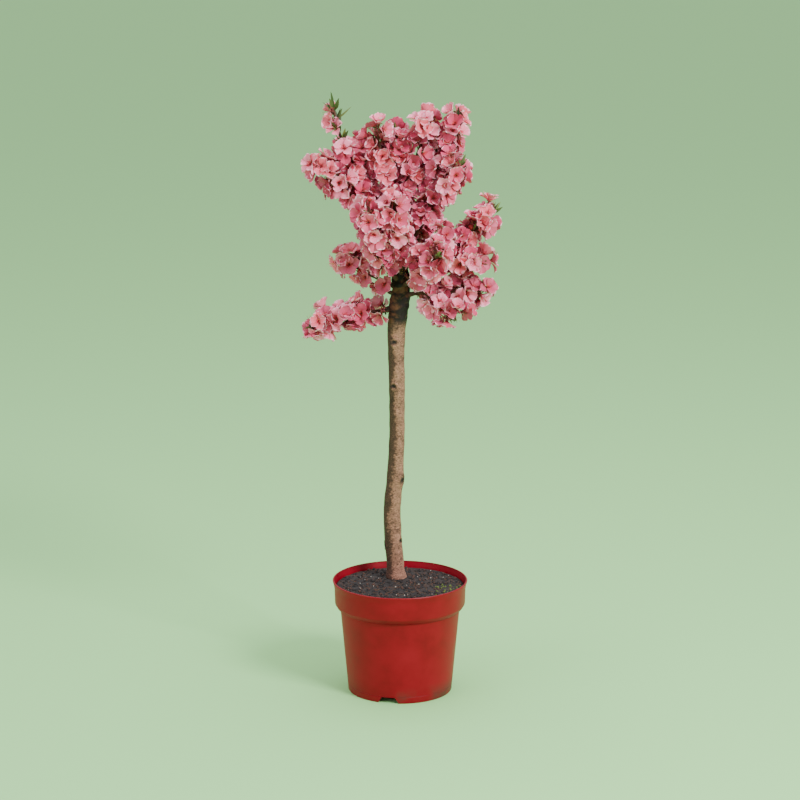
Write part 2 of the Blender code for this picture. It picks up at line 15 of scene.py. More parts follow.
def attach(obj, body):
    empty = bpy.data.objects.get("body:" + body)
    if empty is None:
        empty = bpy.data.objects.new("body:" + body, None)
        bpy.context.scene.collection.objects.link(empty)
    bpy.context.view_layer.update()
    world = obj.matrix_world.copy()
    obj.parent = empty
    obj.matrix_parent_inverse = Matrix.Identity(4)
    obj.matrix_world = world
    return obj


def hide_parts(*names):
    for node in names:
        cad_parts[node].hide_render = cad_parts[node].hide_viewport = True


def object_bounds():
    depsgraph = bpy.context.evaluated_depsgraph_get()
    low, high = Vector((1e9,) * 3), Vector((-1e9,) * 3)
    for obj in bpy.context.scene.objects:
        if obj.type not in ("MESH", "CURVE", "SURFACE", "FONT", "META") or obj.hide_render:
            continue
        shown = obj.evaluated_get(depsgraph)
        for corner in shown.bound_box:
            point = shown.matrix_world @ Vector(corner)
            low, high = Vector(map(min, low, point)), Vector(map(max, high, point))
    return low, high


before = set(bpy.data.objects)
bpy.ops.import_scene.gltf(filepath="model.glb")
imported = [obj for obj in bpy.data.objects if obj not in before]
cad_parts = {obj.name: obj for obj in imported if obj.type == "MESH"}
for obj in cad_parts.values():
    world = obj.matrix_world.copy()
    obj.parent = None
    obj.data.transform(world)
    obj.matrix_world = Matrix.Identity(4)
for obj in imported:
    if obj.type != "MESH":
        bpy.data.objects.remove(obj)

CAD_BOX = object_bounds()

bl_info = {
    "name": "Potted nectarine tree",
    "version": (1, 0, 0),
    "blender": (4, 5, 0),
    "location": "View3D > Sidebar > Tree",
    "description": "Builds the pot, soil, bark, blossom and leaves of a potted dwarf nectarine tree",
    "category": "Add Mesh",
}

BODY = "root"
BOUGH_NODES = sorted(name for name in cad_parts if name.startswith("bough_"))
BLOSSOM_NODES = sorted(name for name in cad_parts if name.startswith("blossom_"))

# Pot, as the solid has it
POT_HEIGHT = 0.160
RIM_RADIUS = 0.095
BAND_RADIUS = 0.0922
BAND_DROP = 0.0345
BAND_STEP = 0.0070
BODY_RADIUS = 0.0842
FOOT_RADIUS = 0.0733
EDGE_ROUND = 0.0010
LIP_DROP = 0.012
POT_WALL = 0.0020
BASE_HEIGHT = 0.0095
NOTCHES = 3
NOTCH_HEADING = -103
NOTCH_WIDTH = 0.030
NOTCH_TOP_WIDTH = 0.019
NOTCH_HEIGHT = 0.0088
SOIL_EDGE = 0.1505
SOIL_TOP = 0.1565

# Trunk, as (height, sideways, back, radius) from the soil to the fork
TRUNK_STATIONS = (
    (0.1568, -0.0050, 0.0240, 0.0152),
    (0.1720, -0.0062, 0.0234, 0.0126),
    (0.2460, -0.0110, 0.0200, 0.0122),
    (0.3160, -0.0063, 0.0160, 0.0115),
    (0.3720, -0.0042, 0.0130, 0.0109),
    (0.4480, -0.0045, 0.0080, 0.0112),
    (0.5100, -0.0050, 0.0040, 0.0121),
    (0.5480, -0.0022, 0.0016, 0.0139),
    (0.5700, 0.0010, 0.0008, 0.0131),
    (0.5900, 0.0010, 0.0004, 0.0116),
    (0.6250, 0.0000, 0.0000, 0.0088),
)

# Swellings of the trunk, as (height, heading, half height, half width, how far they stand out)
TRUNK_KNOTS = (
    (0.302, -35, 0.011, 0.0070, 0.0022),
    (0.439, -114, 0.007, 0.0060, 0.0007),
    (0.503, -105, 0.008, 0.0070, 0.0008),
    (0.545, -60, 0.012, 0.0090, 0.0016),
    (0.558, 150, 0.010, 0.0090, 0.0014),
    (0.204, -170, 0.008, 0.0060, 0.0007),
    (0.212, -30, 0.007, 0.0060, 0.0006),
)

# Heading of the side where the bark is darker, partly as weathered bark and partly as painted shade
WEATHERED_AND_SHADED_SIDE = -166

# Boughs, as name: (height on the trunk, heading, climb, reach, lift, foot radius)
BOUGHS = {
    "low_left": (0.552, 188, -14, 0.026, 4, 0.0060),
    "mid_left": (0.574, 188, 36, 0.026, -8, 0.0044),
    "upper_left": (0.600, 173, 60, 0.045, 8, 0.0048),
    "centre": (0.622, 105, 80, 0.042, 0, 0.0052),
    "upper_right": (0.606, 4, 62, 0.042, 8, 0.0048),
    "right": (0.585, 4, 30, 0.032, 6, 0.0044),
    "low_right": (0.566, 342, 13, 0.026, 4, 0.0042),
    "front": (0.596, 260, 40, 0.032, 14, 0.0040),
    "front_right": (0.580, 299, 22, 0.030, 6, 0.0040),
    "front_left": (0.586, 231, 34, 0.032, 10, 0.0040),
    "back": (0.592, 87, 36, 0.040, 14, 0.0040),
    "back_left": (0.604, 126, 41, 0.042, 14, 0.0040),
    "back_right": (0.598, 53, 39, 0.044, 14, 0.0040),
}
BOUGH_TIP_RADIUS = 0.0027

# Shoots of each mass, as (share along the first shoot, heading, climb, reach, lift, share in
# blossom, length of the leaves at its tip). The first shoot grows on from the bough.
SHOOTS = {
    "low_left": ((0, 184, -9, 0.098, -6, 1.0, 0.012),),
    "mid_left": ((0, 189, 24, 0.066, 10, 1.0, 0.016),),
    "upper_left": (
        (0, 182, 60, 0.201, 18, 0.68, 0.030),
        (0.27, 195, 38, 0.100, 10, 1.0, 0.018),
        (0.50, 14, 64, 0.044, 12, 1.0, 0.016),
    ),
    "centre": (
        (0, 115, 82, 0.129, 6, 1.0, 0.018),
        (0.27, 214, 64, 0.101, 14, 1.0, 0.016),
        (0.30, 350, 61, 0.116, 16, 1.0, 0.016),
    ),
    "upper_right": (
        (0, 358, 64, 0.180, 12, 1.0, 0.022),
        (0.29, 333, 40, 0.078, 22, 1.0, 0.018),
        (0.42, 86, 69, 0.078, 14, 1.0, 0.016),
    ),
    "right": (
        (0, 358, 33, 0.130, 12, 0.92, 0.020),
        (0.22, 338, -6, 0.062, 12, 1.0, 0.014),
    ),
    "low_right": (
        (0, 360, -2, 0.091, 8, 1.0, 0.012),
        (0.10, 318, -34, 0.056, 4, 1.0, 0.012),
    ),
    "front": ((0, 265, 45, 0.110, 20, 1.0, 0.016),),
    "front_right": (
        (0, 294, 24, 0.101, 10, 1.0, 0.014),
        (0.48, 7, 48, 0.055, 20, 1.0, 0.014),
    ),
    "front_left": ((0, 250, 37, 0.122, 20, 1.0, 0.016),),
    "back": (
        (0, 90, 39, 0.119, 20, 1.0, 0.016),
        (0.16, 80, -4, 0.060, 8, 1.0, 0.014),
    ),
    "back_left": ((0, 125, 48, 0.136, 16, 1.0, 0.018),),
    "back_right": ((0, 58, 50, 0.134, 14, 1.0, 0.018),),
}
SHOOT_TIP_RADIUS = 0.0013
SIDE_SHOOT_RADIUS = 0.0018
LINE_STEPS = 24
GAP = 0.0003

# Soil: the plug in the pot as (radius, height), its mound, and what lies loose on it
SOIL_PLUG = (
    (BAND_RADIUS - POT_WALL - 0.0004, 0.130),
    (BODY_RADIUS - 2 * POT_WALL, 0.112),
    (FOOT_RADIUS - 2 * POT_WALL, 0.0125),
)
MOUND_WIDTH = 0.045
TRUNK_CLEARANCE = 0.018
CRUMB_SIZE = (0.0007, 0.0022)
FIBRES = 130
FIBRE_STEP = 0.0022
FIBRE_RADII = (0.00028, 0.00016)

# Relief of the trunk: the ring round a knot, the hollow in it, and the most that bark stands out
KNOT_RING = 0.0009
KNOT_HOLLOW = 0.0016
BARK_LIFT_MOST = 0.0018

# Lights, as (name, place, power in watts, size)
LIGHTS = (
    ("key", (1.7, -2.0, 2.1), 112.0, 0.9),
    ("fill", (-2.4, -1.8, 1.4), 20.0, 2.0),
    ("top", (0.0, 0.3, 3.0), 34.0, 2.2),
)
WORLD_STRENGTH = 0.85
AIM_HEIGHT = 0.45
SENSOR_WIDTH = 36.0

# Where no flower grows: below the crown near the trunk, and in front of the head
CROWN_FOOT = 0.625
TRUNK_BARE = 0.021
HEAD_BARE = 0.022

# Tips of the shoots keep some calyxes bare, and some flowers stay shut
TIP_LENGTH = 0.012
TIP_FLOWERS = 0.55
BUD_SHARE = 0.055

# The growth rule: sites turn two times round the twig in every five
SITE_STEP = 0.0062
SITE_FIRST = 0.004
BOUGH_BARE = 0.016
HEAD_TOP = 0.612
FLOWER_INSET = 0.008
SITE_TURN = 144
SPUR_FIRST = 0.014
SPUR_STEP = 0.016
SPUR_REACH = (0.010, 0.022)
SPUR_LEAN = 52
SPUR_RADIUS = 0.0009
PAIR_TURN = 30
FLOWER_RISE = 0.15
SEED = 1907


def direction(heading, climb):
    """Unit vector of a heading and a climb in degrees."""
    turn, slope = math.radians(heading), math.radians(climb)
    level = math.cos(slope)
    return Vector((math.cos(turn) * level, math.sin(turn) * level, math.sin(slope)))


def turn_from(side, heading):
    """Degrees from one heading round to another, the short way."""
    return (heading - side + 180) % 360 - 180


def smooth_value(stations, height, column):
    """Value in a column of stations at a height, eased from each station to the next."""
    heights = [row[0] for row in stations]
    last = len(stations) - 2
    lower = min(last, max(0, sum(height >= level for level in heights) - 1))

    def slope(index):
        before, after = max(index - 1, 0), min(index + 1, len(stations) - 1)
        rise = stations[after][column] - stations[before][column]
        return rise / (heights[after] - heights[before])

    span = heights[lower + 1] - heights[lower]
    part = min(1.0, max(0.0, (height - heights[lower]) / span))
    start, end = stations[lower][column], stations[lower + 1][column]
    ease = part * part * (3 - 2 * part)
    leave = span * slope(lower) * part * (1 - part) ** 2
    arrive = span * slope(lower + 1) * part * part * (1 - part)
    return start + (end - start) * ease + leave - arrive


def trunk_axis(height):
    """Centre of the trunk at a height."""
    across = smooth_value(TRUNK_STATIONS, height, 1)
    back = smooth_value(TRUNK_STATIONS, height, 2)
    return Vector((across, back, height))


def trunk_radius(height, heading):
    """Radius of the trunk at a height and heading, with its knots."""
    radius = smooth_value(TRUNK_STATIONS, height, 3)
    for level, side, half_height, half_width, stand in TRUNK_KNOTS:
        turn = math.radians(turn_from(side, heading))
        down = (height - level) / half_height
        across = turn * radius / half_width
        radius += stand * math.exp(-down * down - across * across)
    return radius


class Path:
    """Points along a limb, with a frame at each that follows the limb and doesn't twist."""

    def __init__(self, points, first_along=None):
        self.points = points
        last = len(points) - 1
        spans = [points[min(i + 1, last)] - points[max(i - 1, 0)] for i in range(last + 1)]
        self.along = [span.normalized() for span in spans]
        if first_along is not None:
            self.along[0] = first_along
        self.side = [self.along[0].orthogonal().normalized()]
        for before, after in zip(self.along, self.along[1:]):
            side = before.rotation_difference(after) @ self.side[-1]
            self.side.append(side.normalized())

    def frame(self, share):
        """Point, direction, side and over vector at a share of the way along."""
        place = share * (len(self.points) - 1)
        lower = min(int(place), len(self.points) - 2)
        part = place - lower
        point = self.points[lower].lerp(self.points[lower + 1], part)
        along = self.along[lower].lerp(self.along[lower + 1], part).normalized()
        side = self.side[lower].lerp(self.side[lower + 1], part)
        side = (side - along * side.dot(along)).normalized()
        return point, along, side, along.cross(side)


def limb_path(start, heading, climb, reach, lift, first_along=None):
    """Path of a limb whose climb changes evenly from its foot to its tip."""
    points = [start.copy()]
    for step in range(LINE_STEPS):
        slope = climb + lift * (step + 0.5) / LINE_STEPS
        points.append(points[-1] + direction(heading, slope) * (reach / LINE_STEPS))
    return Path(points, first_along)


def out_of(spot, bearing, lean):
    """Direction that stands out of a twig at a bearing round it, leaning towards its tip."""
    _, along, side, over = spot
    turn, tilt = math.radians(bearing), math.radians(lean)
    out = side * math.cos(turn) + over * math.sin(turn)
    facing = out * math.cos(tilt) + along * math.sin(tilt)
    return (facing + Vector((0, 0, FLOWER_RISE))).normalized()


def facing_matrix(seat, facing, roll):
    """Matrix that stands a shape modelled along +Z at a seat, facing out."""
    turn = Vector((0, 0, 1)).rotation_difference(facing).to_matrix().to_4x4()
    return Matrix.Translation(seat) @ turn @ Matrix.Rotation(math.radians(roll), 4, "Z")


class Heap:
    """Many small shapes gathered into the arrays of one mesh, with a slot for each face."""

    def __init__(self):
        self.points, self.faces, self.slots = [], [], []

    def add(self, points, faces, slots, place=None):
        """Add a shape at a place. Slots is one number, or one for each face."""
        first = len(self.points)
        self.points += [place @ point for point in points] if place else points
        self.faces += [tuple(first + corner for corner in face) for face in faces]
        self.slots += [slots] * len(faces) if isinstance(slots, int) else slots

    def piece(self, name, materials, slot, replaced=()):
        """Turn the heap into an object that rides on the plant."""
        mesh = bpy.data.meshes.new(name)
        mesh.from_pydata(self.points, [], self.faces)
        for material in materials:
            mesh.materials.append(material)
        mesh.polygons.foreach_set("material_index", self.slots)
        mesh.shade_smooth()
        thing = bpy.data.objects.new(name, mesh)
        bpy.context.scene.collection.objects.link(thing)
        dress(thing, replaced)
        return thing


def dress(thing, replaced=()):
    """Let a piece ride on the plant and stand for its nodes."""
    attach(thing, BODY)
    if replaced:
        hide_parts(*replaced)


def ring_faces(rings, sides):
    """Faces between rings of points, each ring joined to the next."""
    faces = []
    for index in range(rings - 1):
        for corner in range(sides):
            low, after = index * sides + corner, index * sides + (corner + 1) % sides
            faces.append((low, after, after + sides, low + sides))
    return faces


def end_faces(rings, sides):
    """Faces that close the first ring and the last."""
    return [tuple(reversed(range(sides))), tuple(range((rings - 1) * sides, rings * sides))]


def tube(heap, path, foot, tip, sides, rings, slot, swell=0.0):
    """Add a tapering tube along a path, swollen a little at its buds."""
    points = []
    for index in range(rings):
        share = index / (rings - 1)
        centre, _, side, over = path.frame(share)
        radius = foot + (tip - foot) * share
        radius *= 1 + swell * max(0.0, math.sin(index * 2.4)) ** 2
        for corner in range(sides):
            turn = 2 * math.pi * corner / sides
            points.append(centre + (side * math.cos(turn) + over * math.sin(turn)) * radius)
    heap.add(points, ring_faces(rings, sides) + end_faces(rings, sides), slot)


def plain_material(name, colour, roughness, sheen=0.0):
    """Material of one plain colour for petals, leaves and other small things."""
    material = bpy.data.materials.new(name)
    material.use_nodes = True
    shader = material.node_tree.nodes["Principled BSDF"]
    shader.inputs["Base Color"].default_value = (*colour, 1.0)
    shader.inputs["Roughness"].default_value = roughness
    shader.inputs["Sheen Weight"].default_value = sheen
    return material


def deselect():
    """Leave nothing selected, so that an operator acts on the new piece alone."""
    for thing in bpy.context.selected_objects:
        thing.select_set(False)


def turned_piece(name, profile, sides):
    """Turn a profile of (radius, height) into a ring by ring extruded shape."""
    deselect()
    radius, height = profile[0]
    bpy.ops.mesh.primitive_circle_add(vertices=sides, radius=radius, location=(0, 0, height))
    thing = bpy.context.object
    thing.name = name
    bpy.ops.object.transform_apply(location=True, rotation=True, scale=True)
    bpy.ops.object.mode_set(mode="EDIT")
    bpy.ops.mesh.select_all(action="SELECT")
    bpy.ops.mesh.edge_face_add()
    bpy.ops.mesh.select_all(action="SELECT")
    for (before, low), (after, high) in zip(profile, profile[1:]):
        bpy.ops.mesh.extrude_region_move(TRANSFORM_OT_translate={"value": (0, 0, high - low)})
        ratio = after / before
        bpy.ops.transform.resize(value=(ratio, ratio, 1), center_override=(0, 0, high))
    bpy.ops.mesh.select_all(action="SELECT")
    bpy.ops.mesh.normals_make_consistent(inside=False)
    bpy.ops.object.mode_set(mode="OBJECT")
    return thing


def close_ends(thing):
    """Fill the holes of a piece, and turn its faces outwards."""
    deselect()
    bpy.context.view_layer.objects.active = thing
    thing.select_set(True)
    bpy.ops.object.mode_set(mode="EDIT")
    bpy.ops.mesh.select_all(action="SELECT")
    bpy.ops.mesh.fill_holes(sides=0)
    bpy.ops.mesh.select_all(action="SELECT")
    bpy.ops.mesh.normals_make_consistent(inside=False)
    bpy.ops.object.mode_set(mode="OBJECT")


def cut_with(thing, cutter):
    """Cut a solid out of a piece for good."""
    deselect()
    bpy.context.view_layer.objects.active = thing
    thing.select_set(True)
    modifier = thing.modifiers.new("cut", "BOOLEAN")
    modifier.operation = "DIFFERENCE"
    modifier.object = cutter
    bpy.ops.object.modifier_apply(modifier=modifier.name)
    bpy.data.objects.remove(cutter, do_unlink=True)


def shade_round(thing, angle=35):
    """Shade a piece smooth, but sharp at its corners."""
    deselect()
    thing.select_set(True)
    bpy.context.view_layer.objects.active = thing
    bpy.ops.object.shade_smooth_by_angle(angle=math.radians(angle))


def mottle_group():
    """Soft blotches and fine grain that change over a surface, as two masks and a height."""
    found = bpy.data.node_groups.get("mottle")
    if found:
        return found
    group = bpy.data.node_groups.new("mottle", "ShaderNodeTree")
    face = group.interface
    face.new_socket("Vector", in_out="INPUT", socket_type="NodeSocketVector")
    for name, value in (("Blotch Scale", 30.0), ("Grain Scale", 300.0)):
        face.new_socket(name, in_out="INPUT", socket_type="NodeSocketFloat").default_value = value
    for name in ("Blotch", "Grain"):
        face.new_socket(name, in_out="OUTPUT", socket_type="NodeSocketFloat")
    start = group.nodes.new("NodeGroupInput")
    end = group.nodes.new("NodeGroupOutput")
    for name, scale, detail in (("Blotch", "Blotch Scale", 4.0), ("Grain", "Grain Scale", 6.0)):
        pattern = group.nodes.new("ShaderNodeTexNoise")
        pattern.inputs["Detail"].default_value = detail
        pattern.inputs["Roughness"].default_value = 0.6
        group.links.new(start.outputs["Vector"], pattern.inputs["Vector"])
        group.links.new(start.outputs[scale], pattern.inputs["Scale"])
        group.links.new(pattern.outputs["Fac"], end.inputs[name])
    return group


class Finish:
    """A node material under construction, with its mottling."""

    def __init__(self, name, blotch, grain, stretch=(1, 1, 1)):
        self.material = bpy.data.materials.new(name)
        self.material.use_nodes = True
        self.tree = self.material.node_tree
        self.shader = self.tree.nodes["Principled BSDF"]
        self.place = self.tree.nodes.new("ShaderNodeTexCoord")
        self.mapping = self.tree.nodes.new("ShaderNodeMapping")
        self.mapping.inputs["Scale"].default_value = stretch
        self.link(self.place.outputs["Object"], self.mapping.inputs["Vector"])
        self.mottle = self.tree.nodes.new("ShaderNodeGroup")
        self.mottle.node_tree = mottle_group()
        self.mottle.inputs["Blotch Scale"].default_value = blotch
        self.mottle.inputs["Grain Scale"].default_value = grain
        self.link(self.mapping.outputs["Vector"], self.mottle.inputs["Vector"])

    def link(self, source, target):
        """Join two sockets."""
        self.tree.links.new(source, target)

    def ramp(self, source, stops):
        """Colours that follow a mask, as (position, colour)."""
        node = self.tree.nodes.new("ShaderNodeValToRGB")
        line = node.color_ramp.elements
        while len(line) < len(stops):
            line.new(0.5)
        for element, (position, colour) in zip(line, stops):
            element.position = position
            element.color = (*colour, 1.0)
        self.link(source, node.inputs["Fac"])
        return node.outputs["Color"]

    def mix(self, factor, first, second):
        """Mix of two colours by a mask."""
        node = self.tree.nodes.new("ShaderNodeMix")
        node.data_type = "RGBA"
        self.link(factor, node.inputs["Factor"])
        for value, socket in ((first, node.inputs["A"]), (second, node.inputs["B"])):
            if isinstance(value, tuple):
                socket.default_value = (*value, 1.0)
            else:
                self.link(value, socket)
        return node.outputs["Result"]

    def attribute(self, name):
        """Mask that the piece's own points carry."""
        node = self.tree.nodes.new("ShaderNodeAttribute")
        node.attribute_name = name
        return node.outputs["Fac"]

    def step(self, source, low, high, out_low=0.0, out_high=1.0):
        """Mask that rises from one value to another."""
        node = self.tree.nodes.new("ShaderNodeMapRange")
        for name, value in zip(("From Min", "From Max", "To Min", "To Max"), (low, high, out_low, out_high)):
            node.inputs[name].default_value = value
        self.link(source, node.inputs["Value"])
        return node.outputs["Result"]

    def bump(self, source, strength, distance):
        """Relief from a height."""
        node = self.tree.nodes.new("ShaderNodeBump")
        node.inputs["Strength"].default_value = strength
        node.inputs["Distance"].default_value = distance
        self.link(source, node.inputs["Height"])
        self.link(node.outputs["Normal"], self.shader.inputs["Normal"])

    def height_mask(self, low, high):
        """Mask that rises with height above the ground."""
        split = self.tree.nodes.new("ShaderNodeSeparateXYZ")
        self.link(self.place.outputs["Object"], split.inputs["Vector"])
        return self.step(split.outputs["Z"], low, high)


def pot_material(colour):
    """Red moulded plastic, a little worn, with soil dust round its foot."""
    finish = Finish("pot_red_plastic", 22.0, 420.0)
    dark = tuple(0.78 * part for part in colour)
    pale = tuple(min(1.0, 1.15 * part + 0.002) for part in colour)
    base = finish.ramp(finish.mottle.outputs["Blotch"], ((0.30, dark), (0.50, colour), (0.72, pale)))
    dusty = finish.height_mask(0.026, 0.002)
    specks = finish.step(finish.mottle.outputs["Blotch"], 0.48, 0.66)
    both = finish.tree.nodes.new("ShaderNodeMath")
    both.operation = "MULTIPLY"
    finish.link(dusty, both.inputs[0])
    finish.link(specks, both.inputs[1])
    base = finish.mix(both.outputs["Value"], base, (0.085, 0.030, 0.022))
    finish.link(base, finish.shader.inputs["Base Color"])
    rough = finish.step(finish.mottle.outputs["Blotch"], 0.3, 0.7, 0.38, 0.52)
    finish.link(rough, finish.shader.inputs["Roughness"])
    finish.shader.inputs["Specular IOR Level"].default_value = 0.20
    finish.bump(finish.mottle.outputs["Grain"], 0.05, 0.0004)
    return finish.material


def bark_material(name, light, dark, moss, cross):
    """Bark with blotches, fine cross marks and darker scars."""
    finish = Finish(name, 60.0, 240.0, (1.0, 1.0, cross))
    base = finish.ramp(finish.mottle.outputs["Blotch"], ((0.32, dark), (0.52, light), (0.74, moss)))
    scars = finish.step(finish.mottle.outputs["Grain"], 0.58, 0.68)
    base = finish.mix(scars, base, tuple(0.35 * part for part in dark))
    finish.link(base, finish.shader.inputs["Base Color"])
    finish.shader.inputs["Roughness"].default_value = 0.78
    finish.shader.inputs["Specular IOR Level"].default_value = 0.25
    finish.bump(finish.mottle.outputs["Grain"], 0.55, 0.0012)
    return finish.material


def trunk_material(light, dark, head):
    """Grey-brown bark, lit by pale streaks, that darkens towards the graft and the head, and on its left
    side with weathering and painted shade.
    """
    finish = Finish("trunk_bark", 46.0, 380.0, (1.0, 1.0, 1.7))
    mottle = finish.mottle.outputs
    pale = tuple(min(1.0, 1.35 * part) for part in light)
    base = finish.ramp(mottle["Blotch"], ((0.30, dark), (0.46, light), (0.68, pale)))
    specks = finish.step(mottle["Grain"], 0.45, 0.38)
    base = finish.mix(specks, base, tuple(1.7 * part for part in light))
    marks = finish.step(mottle["Grain"], 0.53, 0.64)
    base = finish.mix(marks, base, dark)
    # Painted shade with weathered bark: the left side of the trunk is darkened by its heading
    shaded = finish.ramp(mottle["Grain"], ((0.40, dark), (0.58, tuple(0.5 * part for part in dark))))
    base = finish.mix(finish.attribute("weathered_and_shaded"), base, shaded)
    aged = finish.ramp(mottle["Blotch"], ((0.50, head), (0.62, (0.130, 0.050, 0.026))))
    base = finish.mix(finish.height_mask(0.521, 0.535), base, aged)
    base = finish.mix(finish.attribute("scar"), base, head)
    finish.link(base, finish.shader.inputs["Base Color"])
    finish.shader.inputs["Roughness"].default_value = 0.74
    finish.shader.inputs["Specular IOR Level"].default_value = 0.28
    finish.bump(mottle["Grain"], 0.6, 0.0012)
    return finish.material


def soil_material(colour):
    """Dark crumbly soil."""
    finish = Finish("potting_soil", 90.0, 520.0)
    black, brown = (0.012, 0.011, 0.012), (0.060, 0.032, 0.024)
    stops = ((0.36, black), (0.55, colour), (0.75, brown))
    base = finish.ramp(finish.mottle.outputs["Blotch"], stops)
    finish.link(base, finish.shader.inputs["Base Color"])
    finish.shader.inputs["Roughness"].default_value = 0.95
    finish.bump(finish.mottle.outputs["Grain"], 0.9, 0.002)
    return finish.material


class PotSettings(bpy.types.PropertyGroup):
    """Size and colour of the pot."""

    sides: IntProperty(name="Sides", description="Facets round the pot", default=96, min=24)
    colour: FloatVectorProperty(
        name="Colour", description="Colour of the plastic", subtype="COLOR",
        default=(0.250, 0.0003, 0.0095), min=0, max=1)


class SoilSettings(bpy.types.PropertyGroup):
    """Surface of the soil."""

    colour: FloatVectorProperty(
        name="Colour", description="Colour of the moist soil", subtype="COLOR",
        default=(0.032, 0.025, 0.024), min=0, max=1)
    crumbs: IntProperty(name="Crumbs", description="Loose crumbs on the soil", default=900, min=0)
    lump: FloatProperty(
        name="Lumps", description="Height of the lumps", default=0.0016, unit="LENGTH")


class BarkSettings(bpy.types.PropertyGroup):
    """Relief and colours of the bark."""

    relief: FloatProperty(
        name="Relief", description="Depth of the bark's relief", default=0.0006, unit="LENGTH")
    light: FloatVectorProperty(
        name="Light bark", description="Colour of the bark's ridges", subtype="COLOR",
        default=(0.262, 0.122, 0.082), min=0, max=1)
    dark: FloatVectorProperty(
        name="Dark bark", description="Colour between the ridges", subtype="COLOR",
        default=(0.080, 0.036, 0.025), min=0, max=1)
    head: FloatVectorProperty(
        name="Head", description="Colour of the old wood at the head", subtype="COLOR",
        default=(0.016, 0.009, 0.009), min=0, max=1)


class BlossomSettings(bpy.types.PropertyGroup):
    """Size and closeness of the flowers."""

    radius: FloatProperty(
        name="Flower radius", description="Radius of an open flower", default=0.0150, unit="LENGTH")
    spacing: FloatProperty(
        name="Spacing", description="Least distance between flowers", default=0.0086, unit="LENGTH")
    colour: FloatVectorProperty(
        name="Petals", description="Colour of the petals", subtype="COLOR",
        default=(0.78, 0.100, 0.215), min=0, max=1)


class StageSettings(bpy.types.PropertyGroup):
    """Camera and lights."""

    distance: FloatProperty(
        name="Distance", description="Distance of the camera in front of the pot", default=4.0,
        unit="LENGTH")
    height: FloatProperty(
        name="Height", description="Height of the camera", default=1.348, unit="LENGTH")
    pitch: FloatProperty(
        name="Pitch", description="Downward tilt of the camera", default=0.2281, unit="ROTATION")
    lens: FloatProperty(name="Lens", description="Focal length in millimetres", default=132.9)
    floor_width: FloatProperty(
        name="Floor width", description="Width of the floor", default=60.0, unit="LENGTH")
    backdrop: FloatVectorProperty(
        name="Backdrop", description="Colour of the floor", subtype="COLOR",
        default=(0.375, 0.800, 0.310), min=0, max=1)


class NECTARINE_OT_pot(bpy.types.Operator):
    """Thin turned pot with a stepped band, a rolled lip and a notched foot ring"""

    bl_idname = "nectarine.pot"
    bl_label = "Add pot"

    def execute(self, context):
        settings = context.scene.nectarine_pot
        band_foot = POT_HEIGHT - BAND_DROP
        outer = [
            (FOOT_RADIUS - EDGE_ROUND, 0.0),
            (FOOT_RADIUS - 0.3 * EDGE_ROUND, 0.3 * EDGE_ROUND),
            (FOOT_RADIUS, EDGE_ROUND),
            (FOOT_RADIUS + 0.0006, BASE_HEIGHT - 0.0004),
            (FOOT_RADIUS + 0.0003, BASE_HEIGHT),
            (FOOT_RADIUS + 0.0008, BASE_HEIGHT + 0.0004),
            (BODY_RADIUS, band_foot - BAND_STEP),
            (BODY_RADIUS + 0.0006, band_foot - BAND_STEP + 0.0004),
            (BAND_RADIUS - 0.4 * (BAND_RADIUS - BODY_RADIUS), band_foot - 0.5 * BAND_STEP),
            (BAND_RADIUS - 1.6 * EDGE_ROUND, band_foot - 0.5 * EDGE_ROUND),
            (BAND_RADIUS - 0.7 * EDGE_ROUND, band_foot + 0.6 * EDGE_ROUND),
            (BAND_RADIUS - 0.3 * EDGE_ROUND, band_foot + 2 * EDGE_ROUND),
            (BAND_RADIUS + 0.3 * EDGE_ROUND, POT_HEIGHT - LIP_DROP),
            (BAND_RADIUS + 1.2 * EDGE_ROUND, POT_HEIGHT - 0.5 * LIP_DROP),
            (RIM_RADIUS - 0.1 * EDGE_ROUND, POT_HEIGHT - 1.4 * EDGE_ROUND),
            (RIM_RADIUS, POT_HEIGHT - 0.7 * EDGE_ROUND),
            (RIM_RADIUS - 0.4 * EDGE_ROUND, POT_HEIGHT),
        ]
        floor_height = BASE_HEIGHT + POT_WALL
        inner = [(radius - 0.8 * POT_WALL, height) for radius, height in reversed(outer)]
        inner = [(radius, height) for radius, height in inner if height > floor_height]
        inner.append((FOOT_RADIUS - 0.8 * POT_WALL, floor_height))
        inner.append((0.3 * FOOT_RADIUS, floor_height))
        base = [(0.3 * FOOT_RADIUS, BASE_HEIGHT), (FOOT_RADIUS - POT_WALL, BASE_HEIGHT)]
        ring = [(FOOT_RADIUS - POT_WALL - EDGE_ROUND, 0.0)]
        pot = turned_piece("nursery_pot", base + ring + outer + inner, settings.sides)
        close_ends(pot)
        for index in range(NOTCHES):
            self.cut_notch(pot, math.radians(NOTCH_HEADING + 360 * index / NOTCHES))
        shade_round(pot, 28)
        pot.data.materials.clear()
        pot.data.materials.append(pot_material(tuple(settings.colour)))
        dress(pot, ["pot"])
        return {"FINISHED"}

    def cut_notch(self, pot, turn):
        """Cut one flared drainage notch through the foot ring."""
        deselect()
        middle = Vector((math.cos(turn), math.sin(turn), 0)) * FOOT_RADIUS
        depth = 8 * POT_WALL
        bpy.ops.mesh.primitive_cube_add(size=1, location=(middle.x, middle.y, 0))
        cutter = bpy.context.object
        cutter.scale = (depth, NOTCH_WIDTH, 2 * NOTCH_HEIGHT)
        cutter.rotation_euler = (0, 0, turn)
        bpy.ops.object.transform_apply(location=True, rotation=True, scale=True)
        across = Vector((-math.sin(turn), math.cos(turn), 0))
        for vert in cutter.data.vertices:
            side = (vert.co - middle).dot(across)
            wanted = NOTCH_TOP_WIDTH / 2 if vert.co.z > 0 else NOTCH_WIDTH - NOTCH_TOP_WIDTH / 2
            vert.co += across * (math.copysign(wanted, side) - side)
        cut_with(pot, cutter)


